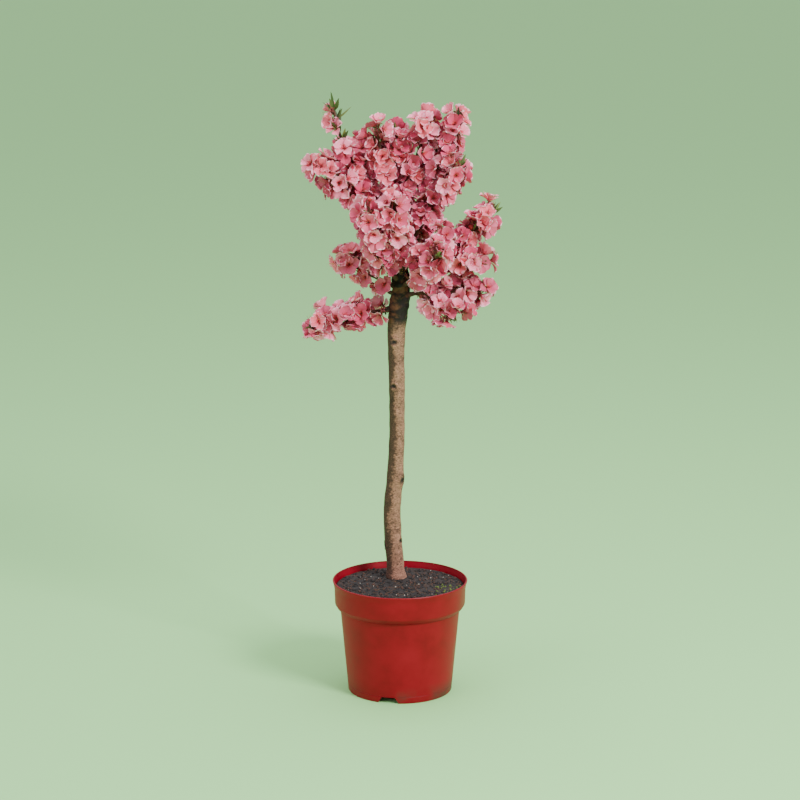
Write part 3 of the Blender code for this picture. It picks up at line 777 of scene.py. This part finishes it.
class NECTARINE_OT_soil(bpy.types.Operator):
    """Heaped potting soil with lumps, loose crumbs, pale grit, fibres and a little moss"""

    bl_idname = "nectarine.soil"
    bl_label = "Add soil"

    def execute(self, context):
        settings = context.scene.nectarine_soil
        draw = random.Random(SEED)
        heap = Heap()
        self.add_surface(heap, settings.lump)
        for _ in range(settings.crumbs):
            self.add_crumb(heap, draw, settings.lump)
        for _ in range(FIBRES):
            self.add_fibre(heap, draw, settings.lump)
        materials = [
            soil_material(tuple(settings.colour)),
            plain_material("soil_crumb_dark", (0.020, 0.016, 0.016), 0.95),
            plain_material("soil_crumb_brown", (0.075, 0.036, 0.026), 0.95),
            plain_material("soil_grit", (0.42, 0.38, 0.33), 0.8),
            plain_material("soil_fibre", (0.16, 0.085, 0.045), 0.9),
            plain_material("soil_moss", (0.110, 0.150, 0.030), 0.95),
        ]
        heap.piece("potting_soil", materials, "soil", ["soil"])
        return {"FINISHED"}

    def height(self, x, y, lump):
        """Height of the soil at a place: a mound round the trunk, with lumps."""
        foot = trunk_axis(SOIL_TOP)
        away = math.hypot(x - foot.x, y - foot.y)
        edge = min(1.0, math.hypot(x, y) / (BAND_RADIUS - POT_WALL))
        mound = SOIL_EDGE + (SOIL_TOP - SOIL_EDGE) * math.exp(-(away / MOUND_WIDTH) ** 2)
        spot = Vector((x, y, 0))
        rough = noise.noise(spot * 90) + 0.6 * noise.noise(spot * 230) + 0.35 * noise.noise(spot * 520)
        return mound + lump * rough * (1.0 - 0.5 * edge ** 8)

    def add_surface(self, heap, lump):
        """The lumpy top, and the plug below it."""
        rings, sides = 46, 128
        radius_at_edge = SOIL_PLUG[0][0]
        points = []
        for ring in range(rings):
            radius = radius_at_edge * (1 - ring / rings)
            for corner in range(sides):
                turn = 2 * math.pi * corner / sides
                x, y = radius * math.cos(turn), radius * math.sin(turn)
                points.append(Vector((x, y, self.height(x, y, lump))))
        points.append(Vector((0, 0, self.height(0, 0, lump))))
        faces = ring_faces(rings, sides)
        last, centre = (rings - 1) * sides, len(points) - 1
        faces += [(last + corner, last + (corner + 1) % sides, centre) for corner in range(sides)]
        above = list(range(sides))
        for radius, height in SOIL_PLUG:
            first = len(points)
            for corner in range(sides):
                turn = 2 * math.pi * corner / sides
                points.append(Vector((radius * math.cos(turn), radius * math.sin(turn), height)))
            ring = list(range(first, first + sides))
            for corner in range(sides):
                after = (corner + 1) % sides
                faces.append((ring[corner], ring[after], above[after], above[corner]))
            above = ring
        faces.append(tuple(reversed(above)))
        heap.add(points, faces, 0)

    def spot(self, draw):
        """A place on the soil, clear of the trunk and the pot."""
        while True:
            turn = draw.uniform(0, 2 * math.pi)
            radius = (BAND_RADIUS - 3 * POT_WALL) * math.sqrt(draw.random())
            x, y = radius * math.cos(turn), radius * math.sin(turn)
            foot = trunk_axis(SOIL_TOP)
            if math.hypot(x - foot.x, y - foot.y) > TRUNK_CLEARANCE:
                return x, y

    def add_crumb(self, heap, draw, lump):
        """One faceted crumb, grain of grit or tuft of moss."""
        x, y = self.spot(draw)
        moss = x > 0.050 and -0.060 < y < 0.0 and draw.random() < 0.6
        kind = 5 if moss else draw.choices((1, 2, 3), (62, 32, 5))[0]
        size = draw.uniform(*CRUMB_SIZE) * (0.62 if kind == 3 else 1.0)
        points = []
        for z in (-1, 1):
            for corner in range(4):
                turn = math.pi * (corner + 0.5 * (z > 0)) / 2
                reach = size * draw.uniform(0.6, 1.1)
                height = z * size * draw.uniform(0.4, 0.8)
                points.append(Vector((reach * math.cos(turn), reach * math.sin(turn), height)))
        faces = [(3, 2, 1, 0), (4, 5, 6, 7)]
        for corner in range(4):
            after = (corner + 1) % 4
            faces += [(corner, after, corner + 4), (after, after + 4, corner + 4)]
        tilt = Euler([draw.uniform(-0.9, 0.9) for _ in range(3)]).to_matrix().to_4x4()
        place = Matrix.Translation((x, y, self.height(x, y, lump) + 0.25 * size))
        heap.add(points, faces, kind, place @ tilt)

    def add_fibre(self, heap, draw, lump):
        """One thin fibre that lies on the soil."""
        x, y = self.spot(draw)
        heading = draw.uniform(0, 360)
        points = []
        for step in range(5):
            heading += draw.uniform(-35, 35)
            move = direction(heading, 0) * FIBRE_STEP
            x, y = x + move.x, y + move.y
            if math.hypot(x, y) > BAND_RADIUS - 2 * POT_WALL:
                return
            points.append(Vector((x, y, self.height(x, y, lump) + 0.0006)))
        tube(heap, Path(points), *FIBRE_RADII, 4, 5, 4)


class NECTARINE_OT_trunk(bpy.types.Operator):
    """Leaning trunk with its knots, the relief of its bark and its swollen graft"""

    bl_idname = "nectarine.trunk"
    bl_label = "Add trunk"

    def execute(self, context):
        settings = context.scene.nectarine_bark
        foot, fork = TRUNK_STATIONS[0][0], TRUNK_STATIONS[-1][0]
        rings, sides = 300, 72
        profile = [(0.01, foot + (fork - foot) * index / rings) for index in range(rings + 1)]
        trunk = turned_piece("trunk_with_bark", profile, sides)
        for vert in trunk.data.vertices:
            heading = math.degrees(math.atan2(vert.co.y, vert.co.x))
            height = vert.co.z
            vert.co = self.bark_point(height, heading, settings.relief)
        close_ends(trunk)
        self.add_masks(trunk)
        shade_round(trunk, 60)
        colours = (settings.light, settings.dark, settings.head)
        trunk.data.materials.clear()
        trunk.data.materials.append(trunk_material(*(tuple(colour) for colour in colours)))
        dress(trunk, ["trunk"])
        return {"FINISHED"}

    def bark_point(self, height, heading, relief):
        """Point of the bark at a height and heading."""
        centre = trunk_axis(height)
        out = direction(heading, 0)
        radius = trunk_radius(height, heading)
        spot = centre + out * radius
        plates = noise.noise(Vector((spot.x * 190, spot.y * 190, spot.z * 60)))
        cracks = abs(noise.noise(Vector((spot.x * 420, spot.y * 420, spot.z * 900))))
        broad = noise.noise(spot * 45)
        head = min(1.0, max(0.0, (height - 0.53) / 0.03))
        rough = relief * (1 + 1.6 * head)
        lift = rough * (0.9 * plates - 0.8 * cracks) + 0.0007 * broad
        lift += 0.0022 * head * noise.noise(spot * 120)
        for level, side, half_height, half_width, _ in TRUNK_KNOTS:
            turn = math.radians(turn_from(side, heading))
            down, across = (height - level) / half_height, turn * radius / half_width
            away = math.hypot(down, across)
            lift += KNOT_RING * math.exp(-((away - 0.75) / 0.18) ** 2)
            lift -= KNOT_HOLLOW * math.exp(-((away / 0.42) ** 2))
        return centre + out * (radius + min(lift, BARK_LIFT_MOST))

    def add_masks(self, trunk):
        """Mark the scars, and the left side darkened by weathering and painted shade, on the trunk's points.
        """
        scar = trunk.data.attributes.new("scar", "FLOAT", "POINT")
        weathered_and_shaded = trunk.data.attributes.new("weathered_and_shaded", "FLOAT", "POINT")
        for index, vert in enumerate(trunk.data.vertices):
            height = vert.co.z
            axis = trunk_axis(height)
            heading = math.degrees(math.atan2(vert.co.y - axis.y, vert.co.x - axis.x))
            mark = 0.0
            for level, side, half_height, half_width, _ in TRUNK_KNOTS:
                turn = math.radians(turn_from(side, heading))
                down = (height - level) / half_height
                across = turn * trunk_radius(height, heading) / half_width
                ragged = 1 + 0.5 * noise.noise(vert.co * 420)
                mark += max(0.0, 1.9 - 2.3 * ragged * math.hypot(1.5 * down, 0.85 * across))
            scar.data[index].value = min(1.0, mark)
            # The darker left side, partly weathered bark and partly painted shade
            away = abs(turn_from(WEATHERED_AND_SHADED_SIDE, heading))
            edge = 66 + 34 * noise.noise(Vector((vert.co.x * 60, vert.co.y * 60, height * 26)))
            edge += 26 * noise.noise(vert.co * 330)
            weathered_and_shaded.data[index].value = min(0.9, max(0.0, (edge - away) / 20))


def bough_path(name):
    """Path of a bough from the trunk's axis to its tip."""
    height, heading, climb, reach, lift, _ = BOUGHS[name]
    return limb_path(trunk_axis(height), heading, climb, reach, lift)


class NECTARINE_OT_boughs(bpy.types.Operator):
    """Tapering boughs with a collar where they leave the trunk and rough young bark"""

    bl_idname = "nectarine.boughs"
    bl_label = "Add boughs"

    def execute(self, context):
        settings = context.scene.nectarine_bark
        heap = Heap()
        for name, row in BOUGHS.items():
            self.add_bough(heap, bough_path(name), row[5])
        self.add_stub(heap)
        light = tuple(0.42 * part for part in settings.light)
        finish = bark_material("bough_bark", light, tuple(settings.head), (0.10, 0.055, 0.035), 1.6)
        heap.piece("boughs_with_bark", [finish], "bough_bark", BOUGH_NODES)
        return {"FINISHED"}

    def add_bough(self, heap, path, foot):
        """One bough, flared at its foot and lumpy along its length."""
        rings, sides = 40, 18
        points = []
        for index in range(rings):
            share = index / (rings - 1)
            centre, _, side, over = path.frame(share)
            radius = foot + (BOUGH_TIP_RADIUS - foot) * share
            radius *= 1 + 0.45 * math.exp(-((share - 0.22) / 0.12) ** 2)
            for corner in range(sides):
                turn = 2 * math.pi * corner / sides
                out = side * math.cos(turn) + over * math.sin(turn)
                spot = centre + out * radius
                rough = noise.noise(spot * 260) + 0.7 * noise.noise(spot * 700)
                points.append(centre + out * (radius + 0.0004 * rough))
        heap.add(points, ring_faces(rings, sides) + end_faces(rings, sides), 0)

    def add_stub(self, heap):
        """Short pruned stub on the left of the head."""
        path = limb_path(trunk_axis(0.566), 205, 24, 0.020, 0)
        tube(heap, path, 0.0034, 0.0026, 12, 8, 0, 0.1)


class Tree:
    """The shoots, spurs, flowers and leaves that the growth rule gives."""

    def __init__(self, spacing):
        self.spacing = spacing
        self.twigs, self.flowers, self.leaves, self.buds, self.stars = [], [], [], [], []
        self.cells = {}
        for index, name in enumerate(SHOOTS):
            self.grow_mass(name, random.Random(SEED + index))

    def inside(self, point, inset):
        """True where a point is inside the solids' box by an inset."""
        low, high = CAD_BOX
        return all(low[i] + inset <= point[i] <= high[i] - inset for i in range(3))

    def room(self, centre):
        """True where no flower stands too near, and then the place is taken."""
        if not self.inside(centre, FLOWER_INSET):
            return False
        key = tuple(int(math.floor(part / self.spacing)) for part in centre)
        for x in (-1, 0, 1):
            for y in (-1, 0, 1):
                for z in (-1, 0, 1):
                    for other in self.cells.get((key[0] + x, key[1] + y, key[2] + z), ()):
                        if (other - centre).length < self.spacing:
                            return False
        if centre.z < CROWN_FOOT:
            height = min(0.62, max(0.16, centre.z))
            axis = trunk_axis(height)
            if math.hypot(centre.x - axis.x, centre.y - axis.y) < TRUNK_BARE:
                return False
            if centre.z < HEAD_TOP and centre.y < axis.y and abs(centre.x - axis.x) < HEAD_BARE:
                return False
        self.cells.setdefault(key, []).append(centre)
        return True

    def grow_mass(self, name, draw):
        """Grow the shoots of one mass."""
        bough = bough_path(name)
        tip, tip_along, _, _ = bough.frame(1.0)
        self.grow_sites(bough, BOUGHS[name][3], 1.0, 0.010, draw, BOUGH_BARE)
        first = None
        for share, heading, climb, reach, lift, blossom, leaf in SHOOTS[name]:
            if first is None:
                path = limb_path(tip + tip_along * GAP, heading, climb, reach, lift, tip_along)
                foot = BOUGH_TIP_RADIUS
                first = path
            else:
                path = limb_path(first.frame(share)[0], heading, climb, reach, lift)
                foot = SIDE_SHOOT_RADIUS
            self.twigs.append((path, foot, SHOOT_TIP_RADIUS))
            self.grow_sites(path, reach, blossom, leaf, draw)
            self.grow_spurs(path, reach, blossom, draw)
            self.grow_tuft(path.frame(0.97), leaf, 5, draw)

    def grow_sites(self, path, reach, blossom, leaf, draw, first=SITE_FIRST):
        """A pair of flowers beside a leaf bud at every site, or leaves past the blossom."""
        bearing = draw.uniform(0, 360)
        distance = first
        while distance < reach:
            bearing += SITE_TURN + draw.uniform(-12, 12)
            spot = path.frame(distance / reach)
            near_tip = distance > reach - TIP_LENGTH
            for side in (-PAIR_TURN, PAIR_TURN):
                turn, lean = side + draw.uniform(-12, 12), draw.uniform(10, 42)
                facing = out_of(spot, bearing + turn, lean)
                reach_out, chance = draw.uniform(0.0035, 0.0085), draw.random()
                if near_tip and chance > TIP_FLOWERS:
                    self.stars.append((spot[0], facing, reach_out, 360 * chance))
                    continue
                bare = distance > reach * blossom and chance > 0.10
                self.place_flower(spot[0], facing, reach_out, draw, bare)
            length, wanted = leaf * draw.uniform(0.60, 1.0), draw.random()
            if wanted < 0.26 or distance > reach * blossom and wanted < 0.75:
                self.grow_tuft(spot, length, 3, draw, bearing)
            distance += SITE_STEP

    def grow_spurs(self, path, reach, blossom, draw):
        """Short side twigs with a cluster of flowers at their tips."""
        bearing = draw.uniform(0, 360)
        distance = SPUR_FIRST
        while distance < reach * blossom - 0.006:
            bearing += SITE_TURN + draw.uniform(-20, 20)
            length, lean = draw.uniform(*SPUR_REACH), SPUR_LEAN + draw.uniform(-12, 12)
            spot = path.frame(distance / reach)
            facing = out_of(spot, bearing, lean)
            bend = Vector((0, 0, draw.uniform(0.0, 0.003)))
            points = [spot[0] + facing * (length * step / 3) + bend * (step / 3) ** 2 for step in range(4)]
            spur = Path(points)
            self.twigs.append((spur, SPUR_RADIUS, 0.7 * SPUR_RADIUS))
            for number in range(4):
                share = 1.0 if number == 0 else draw.uniform(0.45, 1.0)
                end = spur.frame(share)
                turn = out_of(end, draw.uniform(0, 360), draw.uniform(5, 60)) if number else end[1]
                self.place_flower(end[0], turn, draw.uniform(0.003, 0.006), draw, False)
            distance += SPUR_STEP

    def place_flower(self, seat, facing, reach_out, draw, bare):
        """A flower, or now and then a bud, where there is room for it."""
        size, openness = draw.uniform(0.86, 1.08), draw.uniform(0.0, 1.0)
        roll, tint, bud = draw.uniform(0, 360), draw.randrange(5), draw.random()
        centre = seat + facing * (reach_out + 0.006)
        if bare or not self.room(centre):
            return
        if bud < BUD_SHARE:
            self.buds.append((seat, facing, reach_out, roll, tint))
        else:
            self.flowers.append((seat, facing, reach_out, size, openness, roll, tint))

    def grow_tuft(self, spot, length, count, draw, bearing=None):
        """Young leaves that open round a bud or the tip of a shoot."""
        start = draw.uniform(0, 360) if bearing is None else bearing
        for number in range(count):
            size = length * draw.uniform(0.6, 1.0) if number else length
            if bearing is None:
                lean = 90 - (draw.uniform(8, 40) if number else 3)
                facing = out_of(spot, start + 360 * number / max(1, count - 1), lean)
            else:
                facing = out_of(spot, start + draw.uniform(-35, 35), draw.uniform(30, 75))
            leaf = (spot[0], facing, size, draw.uniform(0, 360), draw.randrange(3))
            if self.inside(spot[0] + facing * size, -0.002):
                self.leaves.append(leaf)


def grown_tree(context):
    """The tree, grown once for each run of the settings."""
    spacing = context.scene.nectarine_blossom.spacing
    if grown_tree.kept is None or grown_tree.kept.spacing != spacing:
        grown_tree.kept = Tree(spacing)
    return grown_tree.kept


grown_tree.kept = None


class NECTARINE_OT_twigs(bpy.types.Operator):
    """Shoots and spurs"""

    bl_idname = "nectarine.twigs"
    bl_label = "Add twigs"

    def execute(self, context):
        tree = grown_tree(context)
        heap = Heap()
        for path, foot, tip in tree.twigs:
            length = sum((b - a).length for a, b in zip(path.points, path.points[1:]))
            rings = max(4, int(length / 0.003))
            tube(heap, path, foot, tip, 8 if foot > SPUR_RADIUS else 6, rings, 0, 0.16)
        light, dark, moss = (0.125, 0.050, 0.032), (0.035, 0.018, 0.014), (0.10, 0.085, 0.035)
        finish = bark_material("twig_bark", light, dark, moss, 1.0)
        heap.piece("twigs", [finish], "bough_bark")
        return {"FINISHED"}


PETALS = 5
PETAL_ROWS = (0.0, 0.14, 0.30, 0.52, 0.76, 0.93, 1.0)
PETAL_WIDTHS = (0.12, 0.34, 0.62, 0.94, 1.00, 0.74, 0.34)
PETAL_COLUMNS = 5
THROAT_SLOT, INNER_SLOT, RIM_SLOT = 5, 6, 7
BUD_RADIUS = 0.0036
BUD_FOOT = 0.0022
BUD_LENGTH = 0.0082
SEPALS = 5
STAMENS = 10
STALK_RADIUS = 0.00016
ANTHER_RADIUS = 0.00050
ANTHER_POINTS = ((1, 0, 0), (0, 1, 0), (-1, 0, 0), (0, -1, 0), (0, 0, 1.2), (0, 0, -1.2))
ANTHER_FACES = ((0, 1, 4), (1, 2, 4), (2, 3, 4), (3, 0, 4), (1, 0, 5), (2, 1, 5), (3, 2, 5), (0, 3, 5))


def petal_shape(radius, openness, ruffle):
    """Points and faces of one petal: a narrow claw, a round spoon and a ruffled rim."""
    points, faces, rows = [], [], []
    reach, rise, before = 0.0010, 0.0040, 0.0
    for share, wide in zip(PETAL_ROWS, PETAL_WIDTHS):
        slope = math.radians(66 - 58 * share ** 0.8 * (0.45 + 0.55 * openness) - 8 * openness)
        step = (share - before) * radius * 1.08
        reach, rise, before = reach + step * math.cos(slope), rise + step * math.sin(slope), share
        half = 0.47 * radius * wide
        for column in range(PETAL_COLUMNS):
            across = 2 * column / (PETAL_COLUMNS - 1) - 1
            cup = 0.55 * half * across * across * (1 - 0.35 * share)
            wave = 0.07 * radius * share * share * math.sin(4.2 * across + ruffle)
            tip = -0.10 * radius * across * across * (share > 0.7)
            out = reach + tip - 0.12 * half * across * across
            points.append(Vector((out, half * across, rise + cup + wave)))
    for row in range(len(PETAL_ROWS) - 1):
        for column in range(PETAL_COLUMNS - 1):
            low = row * PETAL_COLUMNS + column
            faces.append((low, low + PETAL_COLUMNS, low + PETAL_COLUMNS + 1, low + 1))
            rows.append((row, abs(column - 1.5)))
    return points, faces, rows


class NECTARINE_OT_blossom(bpy.types.Operator):
    """Petals in several pinks with deep throats and pale rims, and closed buds"""

    bl_idname = "nectarine.blossom"
    bl_label = "Add blossom"

    def execute(self, context):
        settings = context.scene.nectarine_blossom
        tree = grown_tree(context)
        heap = Heap()
        shapes = {}
        for number, (seat, facing, reach_out, size, openness, roll, tint) in enumerate(tree.flowers):
            place = facing_matrix(seat + facing * reach_out, facing, roll)
            for petal in range(PETALS):
                key = (round(4 * openness), (number + petal) % 4)
                if key not in shapes:
                    shapes[key] = petal_shape(settings.radius, key[0] / 4, 1.7 * key[1])
                points, faces, rows = shapes[key]
                turn = Matrix.Rotation(2 * math.pi * petal / PETALS, 4, "Z")
                nod = Matrix.Rotation(0.22 * math.sin(number * 2.1 + petal * 1.7), 4, "Y")
                slots = [self.slot(row, edge, tint) for row, edge in rows]
                heap.add(points, faces, slots, place @ turn @ nod @ Matrix.Scale(size, 4))
        for seat, facing, reach_out, roll, tint in tree.buds:
            self.add_bud(heap, facing_matrix(seat + facing * reach_out, facing, roll), tint)
        base = Vector(settings.colour)
        tints = [base * amount for amount in (1.0, 0.78)]
        tints += [Vector((0.95, 0.250, 0.390)), Vector((0.66, 0.055, 0.150)), Vector((0.86, 0.140, 0.215))]
        names = ("petal_rose", "petal_deep_rose", "petal_light_rose", "petal_cool", "petal_warm")
        materials = [plain_material(name, tuple(min(1.0, part) for part in tint), 0.55, 0.25)
                     for name, tint in zip(names, tints)]
        materials.append(plain_material("petal_throat", (0.40, 0.008, 0.020), 0.5, 0.1))
        materials.append(plain_material("petal_inner", (0.64, 0.060, 0.110), 0.55, 0.2))
        materials.append(plain_material("petal_rim", (0.98, 0.46, 0.60), 0.55, 0.3))
        heap.piece("petals", materials, "blossom", BLOSSOM_NODES)
        return {"FINISHED"}

    def slot(self, row, edge, tint):
        """Colour of a petal's face: deep at the claw, paler at the rim."""
        if row == 0:
            return THROAT_SLOT
        if row == 1:
            return INNER_SLOT
        if row == len(PETAL_ROWS) - 2 or edge > 1 and row > 3 and tint % 2 == 0:
            return RIM_SLOT
        return tint

    def add_bud(self, heap, place, tint):
        """Round closed bud of wrapped petals."""
        points = []
        rings, sides = 7, 10
        for ring in range(rings):
            share = ring / (rings - 1)
            radius = BUD_RADIUS * math.sin(math.pi * (0.12 + 0.86 * share)) ** 0.8
            for corner in range(sides):
                turn = 2 * math.pi * (corner / sides + 0.25 * share)
                swell = 1 + 0.08 * math.cos(5 * (turn - 0.5 * share))
                across = radius * swell
                height = BUD_FOOT + BUD_LENGTH * share
                points.append(Vector((across * math.cos(turn), across * math.sin(turn), height)))
        faces = ring_faces(rings, sides) + list(reversed(end_faces(rings, sides)))
        heap.add(points, faces, THROAT_SLOT if tint < 2 else INNER_SLOT, place)


class NECTARINE_OT_hearts(bpy.types.Operator):
    """Stamens, and the red-brown cups and sepals that hold the petals"""

    bl_idname = "nectarine.hearts"
    bl_label = "Add stamens and sepals"

    def execute(self, context):
        tree = grown_tree(context)
        stamens, cups = Heap(), Heap()
        draw = random.Random(SEED)
        for seat, facing, reach_out, _, openness, roll, _ in tree.flowers:
            place = facing_matrix(seat + facing * reach_out, facing, roll)
            self.add_stamens(stamens, place, openness, draw)
            self.add_cup(cups, facing_matrix(seat, facing, roll), reach_out)
        for seat, facing, reach_out, roll, _ in tree.buds:
            self.add_cup(cups, facing_matrix(seat, facing, roll), reach_out)
        for seat, facing, reach_out, roll in tree.stars:
            place = facing_matrix(seat, facing, roll)
            self.add_cup(cups, place, reach_out)
            self.add_stamens(stamens, place @ Matrix.Translation((0, 0, reach_out)), 1.0, draw)
        materials = [
            plain_material("stamen_stalk", (0.68, 0.13, 0.17), 0.6),
            plain_material("anther_red", (0.30, 0.045, 0.020), 0.7),
            plain_material("anther_gold", (0.62, 0.33, 0.08), 0.7),
        ]
        stamens.piece("stamens", materials, "blossom")
        cup = plain_material("sepal", (0.17, 0.030, 0.025), 0.6)
        cups.piece("sepals", [cup, plain_material("sepal_green", (0.10, 0.085, 0.025), 0.6)], "blossom")
        return {"FINISHED"}

    def add_stamens(self, heap, place, openness, draw):
        """Ten fine stalks, each with an anther at its tip."""
        for number in range(STAMENS):
            turn = math.radians(360 / STAMENS * number + draw.uniform(-12, 12))
            spread = math.radians(draw.uniform(8, 24 + 22 * openness))
            length = draw.uniform(0.0060, 0.0092)
            out = Vector((math.cos(turn), math.sin(turn), 0))
            foot = Vector((0, 0, 0.0035)) + out * 0.0007
            head = foot + (out * math.sin(spread) + Vector((0, 0, math.cos(spread)))) * length
            side = Vector((-out.y, out.x, 0)) * STALK_RADIUS
            over = out * STALK_RADIUS
            points = [foot + side, foot - side, foot + over, head]
            faces = [(0, 2, 3), (2, 1, 3), (1, 0, 3)]
            heap.add(points, faces, 0, place)
            kind = 2 if draw.random() < 0.35 else 1
            anther = [head + Vector(corner) * ANTHER_RADIUS for corner in ANTHER_POINTS]
            heap.add(anther, ANTHER_FACES, kind, place)

    def add_cup(self, heap, place, reach_out):
        """Flower cup on its short stalk, with five spreading sepals."""
        levels = (
            (0.0, 0.0006),
            (reach_out * 0.7, 0.0007),
            (reach_out + 0.0010, 0.0017),
            (reach_out + 0.0042, 0.0020),
        )
        points = []
        for height, radius in levels:
            for corner in range(SEPALS):
                turn = 2 * math.pi * corner / SEPALS
                points.append(Vector((radius * math.cos(turn), radius * math.sin(turn), height)))
        heap.add(points, ring_faces(len(levels), SEPALS), 0, place)
        top = reach_out + 0.0040
        up = Vector((0, 0, 1))
        for corner in range(SEPALS):
            turn = 2 * math.pi * (corner + 0.5) / SEPALS
            out = Vector((math.cos(turn), math.sin(turn), 0))
            side = Vector((-math.sin(turn), math.cos(turn), 0))
            base, middle, tip = out * 0.0017, out * 0.0036, out * 0.0058
            sepal = [base + side * 0.0012 + up * top, base - side * 0.0012 + up * top,
                     middle - side * 0.0013 + up * (top + 0.0007), tip + up * (top + 0.0002),
                     middle + side * 0.0013 + up * (top + 0.0007)]
            heap.add(sepal, [(0, 1, 2, 4), (4, 2, 3)], 1 if corner % 3 == 2 else 0, place)


class NECTARINE_OT_leaves(bpy.types.Operator):
    """Narrow young leaves, folded along the middle and curved back"""

    bl_idname = "nectarine.leaves"
    bl_label = "Add leaves"

    def execute(self, context):
        tree = grown_tree(context)
        heap = Heap()
        for seat, facing, length, roll, tint in tree.leaves:
            self.add_leaf(heap, facing_matrix(seat, facing, roll), length, tint)
        materials = [
            plain_material("leaf_green", (0.085, 0.125, 0.030), 0.5, 0.1),
            plain_material("leaf_fresh", (0.150, 0.200, 0.045), 0.5, 0.1),
            plain_material("leaf_dark", (0.050, 0.075, 0.028), 0.5, 0.1),
        ]
        heap.piece("leaves", materials, "blossom")
        return {"FINISHED"}

    def add_leaf(self, heap, place, length, tint):
        """One leaf, as a strip folded along its middle."""
        rows = ((0.0, 0.10), (0.2, 0.55), (0.42, 1.0), (0.65, 0.85), (0.85, 0.42), (1.0, 0.04))
        points, faces = [], []
        for share, wide in rows:
            half = 0.125 * length * wide
            bend = 0.16 * length * share * share
            fold = 0.45 * half
            points.append(Vector((-half, bend + fold, share * length)))
            points.append(Vector((0, bend, share * length)))
            points.append(Vector((half, bend + fold, share * length)))
        for row in range(len(rows) - 1):
            low = 3 * row
            faces += [(low, low + 1, low + 4, low + 3), (low + 1, low + 2, low + 5, low + 4)]
        heap.add(points, faces, tint, place)


class NECTARINE_OT_stage(bpy.types.Operator):
    """Plain floor, soft studio lights and the camera"""

    bl_idname = "nectarine.stage"
    bl_label = "Add stage"

    def execute(self, context):
        settings = context.scene.nectarine_stage
        self.add_floor(tuple(settings.backdrop), settings.floor_width)
        for name, place, power, size in LIGHTS:
            self.add_light(name, place, power, size)
        world = bpy.data.worlds.new("studio")
        world.use_nodes = True
        background = world.node_tree.nodes["Background"]
        background.inputs["Color"].default_value = (1.0, 1.0, 1.0, 1.0)
        background.inputs["Strength"].default_value = WORLD_STRENGTH
        context.scene.world = world
        lens = bpy.data.cameras.new("camera")
        lens.lens = settings.lens
        lens.sensor_width = SENSOR_WIDTH
        camera = bpy.data.objects.new("camera", lens)
        camera.location = (0, -settings.distance, settings.height)
        camera.rotation_euler = (math.pi / 2 - settings.pitch, 0, 0)
        context.scene.collection.objects.link(camera)
        context.scene.camera = camera
        return {"FINISHED"}

    def add_floor(self, colour, width):
        """Wide flat floor, which fills the picture behind the tree."""
        deselect()
        bpy.ops.mesh.primitive_plane_add(size=width, location=(0, 0, 0))
        floor = bpy.context.object
        floor.name = "floor"
        floor.data.materials.append(plain_material("backdrop_paper", colour, 0.9))

    def add_light(self, name, place, power, size):
        """Soft square light aimed at the crown."""
        lamp = bpy.data.lights.new(name, "AREA")
        lamp.energy = power
        lamp.size = size
        thing = bpy.data.objects.new(name, lamp)
        thing.location = place
        aim = Vector((0, 0, AIM_HEIGHT)) - Vector(place)
        thing.rotation_euler = aim.to_track_quat("-Z", "Y").to_euler()
        bpy.context.scene.collection.objects.link(thing)


class NECTARINE_PT_panel(bpy.types.Panel):
    """Sizes, colours and steps of the tree"""

    bl_label = "Potted nectarine tree"
    bl_idname = "NECTARINE_PT_panel"
    bl_space_type = "VIEW_3D"
    bl_region_type = "UI"
    bl_category = "Tree"

    def draw(self, context):
        for name in SETTINGS:
            settings = getattr(context.scene, name)
            box = self.layout.box()
            for key in settings.bl_rna.properties.keys():
                if key not in ("rna_type", "name"):
                    box.prop(settings, key)
        for step in STEPS:
            self.layout.operator(step.bl_idname)


SETTINGS = {
    "nectarine_pot": PotSettings,
    "nectarine_soil": SoilSettings,
    "nectarine_bark": BarkSettings,
    "nectarine_blossom": BlossomSettings,
    "nectarine_stage": StageSettings,
}
STEPS = (
    NECTARINE_OT_stage,
    NECTARINE_OT_pot,
    NECTARINE_OT_soil,
    NECTARINE_OT_trunk,
    NECTARINE_OT_boughs,
    NECTARINE_OT_twigs,
    NECTARINE_OT_blossom,
    NECTARINE_OT_hearts,
    NECTARINE_OT_leaves,
)


def register():
    """Make the settings, the operators and the panel known to Blender."""
    for name, settings in SETTINGS.items():
        bpy.utils.register_class(settings)
        setattr(bpy.types.Scene, name, PointerProperty(type=settings))
    for step in STEPS:
        bpy.utils.register_class(step)
    bpy.utils.register_class(NECTARINE_PT_panel)


def unregister():
    """Take them away again."""
    bpy.utils.unregister_class(NECTARINE_PT_panel)
    for step in reversed(STEPS):
        bpy.utils.unregister_class(step)
    for name, settings in SETTINGS.items():
        delattr(bpy.types.Scene, name)
        bpy.utils.unregister_class(settings)


def main():
    """Build the whole tree."""
    register()
    bpy.ops.nectarine.stage()
    bpy.ops.nectarine.pot()
    bpy.ops.nectarine.soil()
    bpy.ops.nectarine.trunk()
    bpy.ops.nectarine.boughs()
    bpy.ops.nectarine.twigs()
    bpy.ops.nectarine.blossom()
    bpy.ops.nectarine.hearts()
    bpy.ops.nectarine.leaves()


if __name__ == "__main__":
    main()
